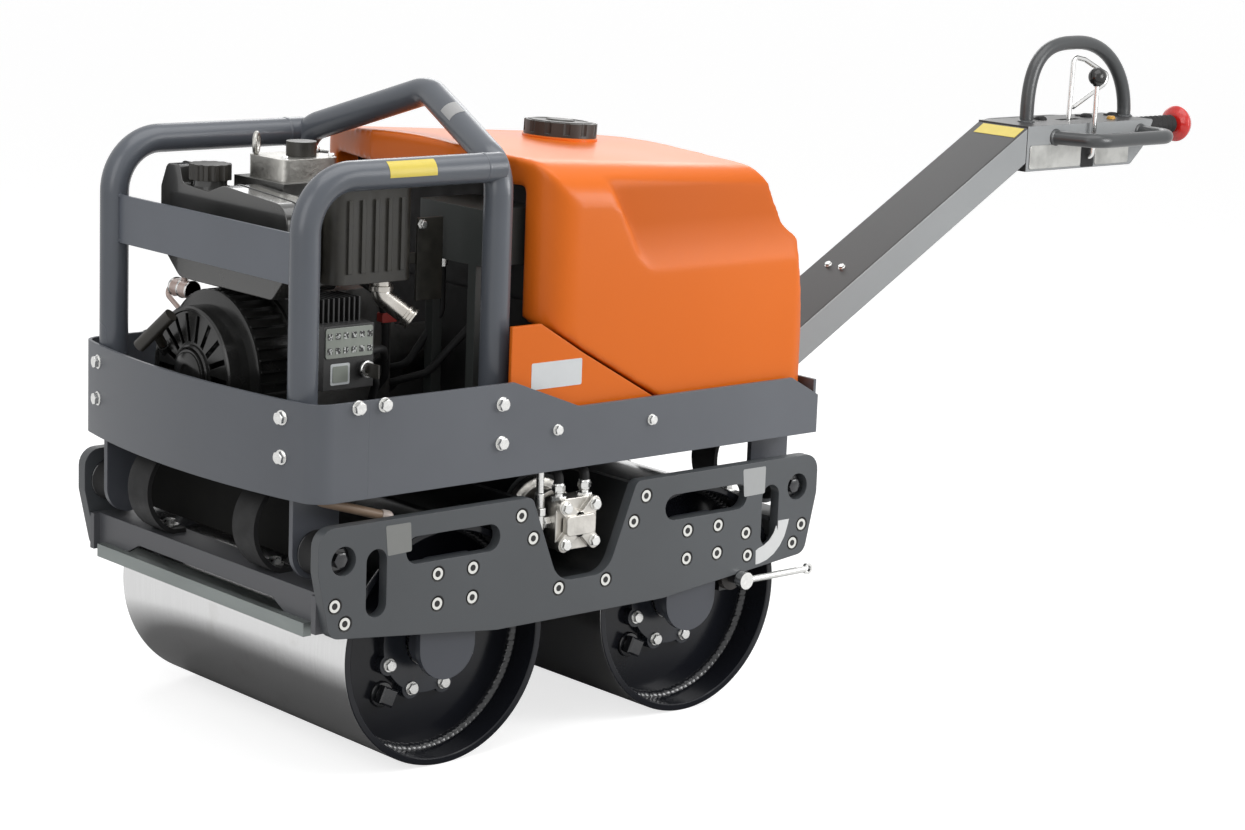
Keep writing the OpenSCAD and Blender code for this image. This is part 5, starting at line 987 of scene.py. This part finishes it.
# Fan shroud: ribs round its rim, and a raised ring and a boss on the starter's cover.
FAN_Y, FAN_Z = 32, 610
spots = []
for k in range(44):
    a = 2 * math.pi * k / 44
    radial = (0, math.cos(a), math.sin(a))
    spots.append(((-440, FAN_Y + 131 * radial[1], FAN_Z + 131 * radial[2]), radial, (1, 0, 0)))
repeated("shroud_ribs", at_origin(box, -37, 37, -2, 2, -2, 4), spots, engine_black, slot="black_paint")
turning("starter_rings", [((x, FAN_Y, FAN_Z), (way, 0, 0), *form) for x, way, *form in (
    (-520, -1, [(110, -6), (110, 0), (107, 2.4), (103, 2.4), (101, 0), (101, -6)], 72, True),
    (-520, -1, [(47, -1), (47, 3), (44, 5), (41, 3), (41, -1)], 48, True),
    (-528, -1, [(36, -1), (36, 2), (33, 4), (16, 5), (14, 2), (0, 2)], 48),
    (-400, -1, [(131, 0), (136, 1), (136, 7), (131, 9)], 72),
    (-480, 1, [(128, -3), (134, -1), (134, 5), (131, 7)], 72))], engine_black, slot="black_paint")

# Fuel filter: a clear pinkish cup in plated spring clips.
clear = speckled("clear_pink", (0.50, 0.34, 0.29), (0.72, 0.60, 0.55), 40, grain=0.0002, roughness=0.12,
                 coat_weight=0.4)
dress(["fuel_filter"], clear)
turning("filter_clips", [((-462, y - 2, 728), (0, 1, 0), [(15, 0), (16.4, 1), (16.4, 3), (15, 4)], 28)
                         for y in (122, 147, 170)], zinc, slot="zinc")

# Control box: a moulded housing on the engine, with a grey panel of plain keys, a blank white plate, a
# finned regulator on top and the ignition lock.
box_black = black_moulding("box_black", (0.013, 0.013, 0.013), (0.030, 0.030, 0.030), 0.40)
dress(["control_box"], box_black)
panel_grey = speckled("panel_grey", (0.26, 0.285, 0.25), (0.31, 0.335, 0.30), 50, roughness=0.4)
plate("control_panel", "y", rectangle(-452, -361, 671, 719, 4), -240, -238, panel_grey, bevel=0.6)
keys = [((-444 + 15.4 * k, -240, z), (0, -1, 0), (1, 0, 0)) for k in range(6) for z in (683, 706)]
key_tone = Finish("key_tone", roughness=0.5)
marks = key_tone.ramp(key_tone.noise(300, 2), (0.52, 0), (0.56, 1))
key_tone.feed(base_color=key_tone.blend(marks, (0.03, 0.03, 0.03), (0.6, 0.62, 0.6)))
key = at_origin(prism, "z", rectangle(-4.6, 4.6, -5, 5, 1.5), -0.5, 0.8)
repeated("panel_keys", key, keys, key_tone.material)
sticker("box_plate", [(-441, 628), (-404, 628), (-404, 662), (-441, 662)], -238, (0.66, 0.69, 0.70))
plate("box_plate_field", "y", rectangle(-437, -408, 632, 658, 2), -239.2, -238.2, panel_grey)
collar = [(14, 0), (14, 3), (12.6, 4.4), (8, 4.4), (7.6, 3)]
turning("lock_ring", [((-376, -246, 650), (0, -1, 0), collar, 36)], zinc, slot="zinc")

# Engine bay trim: a rubber mat closes it towards the water tank, plated bolts and a red plug sit on the
# alloy cover, and black hoses run from the pump to the hydraulic tank and along the engine.
mat = bmesh.new()
prism(mat, "x", rectangle(-254, 254, 716, 921, 8), -33.4, -30.4)
prism(mat, "x", rectangle(-254, 254, 480, 730, 8), -45, -42)
piece("bay_mat", mat, rubber, slot="rubber")
hoses = [[(-91, -160, 796), (-91, -160, 690), (-150, -110, 600), (-205, -40, 570)],
         [(-126, -112, 796), (-126, -112, 700), (-168, -76, 610), (-205, -10, 590)],
         [(-330, -66, 800), (-262, -126, 742), (-248, -122, 690), (-230, -100, 600), (-230, -60, 560)],
         [(-360, -200, 640), (-318, -196, 622), (-300, -150, 560), (-300, -70, 540)],
         [(-360, -190, 660), (-300, -186, 668), (-262, -140, 640), (-262, -70, 600)]]
piped("bay_hoses", hoses, 6.5, 34, rubber, 16, 8, slot="rubber")
trim = [((x, y, 778), UP, [(9, 0), (9, 14), (12, 15), (12, 18)], 24) for x, y in ((-91, -160), (-126, -112))]
trim.append(((-204, -155, 858), (0, -1, 0), [(9, 0), (9, 1.6), (6.5, 1.6), (6.5, 7), (5.5, 8)], 6))
trim += [((x, y, 954), UP, [(7, 0), (7, 1.4), (5.5, 1.4), (5.5, 6), (4.8, 7)], 6)
         for y in (-10, 74) for x in (-374, -282)]
trim.append(((-300, 70, 962), (1, -0.25, -0.1), [(6, 0), (8, 2), (8, 40), (5, 44), (5, 60)], 20))
turning("bay_fittings", trim, zinc, slot="zinc", bevel=0.4)
plug_red = speckled("plug_red", (0.30, 0.02, 0.015), (0.42, 0.035, 0.025), 40, 2, roughness=0.35)
plugs = bmesh.new()
lathe(plugs, (-282, 50, 953), UP, [(10, 0), (10, 8), (12, 9), (12, 17), (9, 19), (0, 19)], 24)
prism(plugs, "y", rectangle(-262, -232, 696, 712, 3), -132, -116)
piece("bay_plugs", plugs, plug_red, bevel=0.6)

# Handle: a folded steel arm and head, darker on top and paler on the flanks, its screws, and the black
# bumpers on top of the head.
arm_finish = Finish("arm_grey", specular_ior_level=0.3)
x, y, z = arm_finish.axes()
flank = abs(y) > 0.0655
cloud = arm_finish.noise(5, 3)
arm_dark = arm_finish.blend(cloud, (0.046, 0.046, 0.047), (0.058, 0.057, 0.058))
arm_pale = arm_finish.blend(cloud, (0.27, 0.28, 0.285), (0.33, 0.34, 0.345))
arm_finish.feed(
    base_color=arm_finish.blend(flank, arm_dark, arm_pale),
    roughness=flank * -0.06 + 0.34,
    normal=arm_finish.bump(arm_finish.noise(900, 2), 0.00006, 0.0025),
)
dress(["head_cover"], arm_finish.material)
dress(["handle_bracket"], frame_grey)
slope = math.radians(29.9)
PIN_X, PIN_Z, ARM_HALF = 612, 470, 31
HEAD_TOP = 941.4


def arm_top(x, y):
    return x, y, PIN_Z + (x - PIN_X) * math.tan(slope) + ARM_HALF / math.cos(slope)


def on_arm(along, lift):
    return (PIN_X + along * math.cos(slope) - lift * math.sin(slope),
            PIN_Z + along * math.sin(slope) + lift * math.cos(slope))


reach = (1366.2 - PIN_X) / math.cos(slope)
mitre = ARM_HALF * math.tan(slope)
side_line = [on_arm(-ARM_HALF, ARM_HALF), on_arm(-ARM_HALF, -ARM_HALF), on_arm(reach - mitre, -ARM_HALF),
             on_arm(reach + mitre, ARM_HALF)]
plate("arm_box", "y", rounded(side_line, [30, 30, 0, 0], 10), -66, 66, arm_finish.material, "handle",
      replaces=["handle_arm"], slot="frame_paint", bevel=3, steps=3)
bolts("arm_screws", (11, 6, 7.5), [(arm_top(922, y), (-math.sin(slope), 0, math.cos(slope)), (0, 1, 0.1))
                                   for y in (28, -8)], "handle")
yellow = speckled("yellow_foil", (0.66, 0.53, 0.07), (0.78, 0.63, 0.10), 70, roughness=0.35)
under = [arm_top(x, 0)[::2] for x in (1333, 1361)]
plate("arm_sticker", "y", under + [(x - 0.3, z + 0.5) for x, z in under[::-1]], -60, 48, yellow, "handle")
plates = bmesh.new()
for side in (-1, 1):
    for x0, x1 in ((1374, 1528), (1572, 1676)):
        prism(plates, "y", rectangle(x0, x1, 856, 903, 5), side * 66.2, side * 68.2)
piece("head_plates", plates, cast_metal("head_plate", (0.52, 0.52, 0.50), 0.32, 0.0001), "handle",
      slot="frame_paint", bevel=0.7)
plate("head_slot_shade", "y", rectangle(1531, 1569, 853, 905, 3), -67, -65.8, rubber, "handle", slot="rubber")
turning("head_bumpers", [((x, y, HEAD_TOP), UP, [(13, 0), (13, 2), (11, 5), (7, 7), (0, 7)], 28)
                         for x, y in ((1500, 20), (1640, 19), (1716, 13))], rubber, "handle", slot="rubber")
warm = speckled("orange_cap", (0.50, 0.24, 0.02), (0.62, 0.34, 0.04), 60, 2, roughness=0.4)
turning("head_cap", [((1660, -30, HEAD_TOP), UP, [(9, 0), (9, 3), (7, 6), (0, 6)], 24)], warm, "handle")

# Grip hoop and side loops: round steel bar, bent and welded to the head, in dark grey paint.
bar_paint = powder_coat("bar_paint", (0.050, 0.053, 0.055), 0.26)
HOOP_X, HOOP_L, HOOP_H, GRIP_Z = 1434, 302, 155.4, 916.4
arch = [(HOOP_X, 0, HEAD_TOP - 6)]
for k in range(1, 32):
    a = math.pi * k / 32
    width, power = (-0.46, 3.1) if k <= 16 else (0.54, 2.1)
    arch.append((HOOP_X + HOOP_L * (0.46 + width * abs(math.cos(a)) ** (2 / power)), 0,
                 HEAD_TOP + HOOP_H * math.sin(a) ** (2 / power)))
arch.append((HOOP_X + HOOP_L, 0, HEAD_TOP - 6))
piped("grip_hoop", [arch], 14, 60, bar_paint, 32, 6, "handle", slot="frame_paint", crease=60)
routes = [[(x, side * y, GRIP_Z) for x, y in ((1448, 60), (1478, 155), (1712, 155), (1712, 60))]
          for side in (-1, 1)]
piped("grip_bars", routes, 14, 40, bar_paint, 32, 14, "handle", replaces=["hand_tubes"], slot="frame_paint",
      crease=50)
feet = [((x, 0, HEAD_TOP), UP, [(13, -2), (18, 0), (17, 2.6), (13, 5)], 32)
        for x in (HOOP_X, HOOP_X + HOOP_L)]
feet += [((x, side * 66, GRIP_Z), (0, side, 0), [(13, -2), (17.6, 0), (16.6, 2.6), (13, 5)], 32)
         for side in (-1, 1) for x in (1450, 1712)]
turning("grip_welds", feet, bar_paint, "handle", slot="frame_paint")

# Levers: plated round bar. The travel bail swings under the hoop, the other carries a black ball.
bright_rod = speckled("bright_rod", (0.66, 0.66, 0.65), (0.78, 0.78, 0.77), 16, 2, (0.16, 0.24), metallic=1.0)
dress(["travel_lever"], bright_rod)
piped("vibration_rod", [[(1549, -45, 873.4), (1549, -80, 873.4), (1549, -80, 1022)]], 5, 12, bright_rod, 20,
      body="vibration_lever", replaces=["vibration_lever"], slot="zinc")
ball_black = black_moulding("ball_black", (0.008, 0.008, 0.008), (0.020, 0.020, 0.019), 0.14)
arcs = [math.radians(-62 + 152 * k / 18) for k in range(18)]
profile = [(7, -19), (8, -16.8)] + [(18.5 * math.cos(a), 18.5 * math.sin(a)) for a in arcs] + [(0, 18.5)]
turning("vibration_ball", [((1549, -80, 1035.4), UP, profile, 40)], ball_black, "vibration_lever",
        slot="black_plastic")

# Safety button: a red mushroom on a ribbed rubber bellows.
outline = [(9, 0), (19, 0), (19, 3)]
for k in range(9):
    fold = k * 15.1
    outline += [(14.2, 5 + fold), (14.4, 7 + fold), (19, 11 + fold), (19.6, 12.6 + fold), (19, 14.2 + fold),
                (14.6, 18 + fold)]
outline += [(14, 140.4), (9, 140.6)]
skin = turning("button_bellows_skin", [((1754.2, 0, 918.4), (1, 0, 0), outline, 48, True)], rubber, "handle",
               replaces=["button_bellows"], slot="rubber", crease=60)
tuple(at(1754.2, 0, 918.4))
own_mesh(skin)
red = speckled("button_red", (0.52, 0.010, 0.008), (0.66, 0.020, 0.014), 30, rough=(0.2, 0.3),
               coat_weight=0.4, coat_roughness=0.1)
dome = [(0, 0), (22, 0), (25, 1), (33, 7), (36.4, 9), (37.4, 11), (37.4, 14), (36.6, 16.6), (34, 22),
        (29.6, 28.6), (23, 34), (15, 37.6), (8, 39.4), (0, 40)]
turning("button_cap", [((1895.2, 0, 918.4), (1, 0, 0), dome, 64),
                       ((1780, 0, 918.4), (1, 0, 0), [(7, 0), (7, 116)], 24)],
        red, "safety_button", replaces=["safety_button"], slot="red_plastic", crease=60)
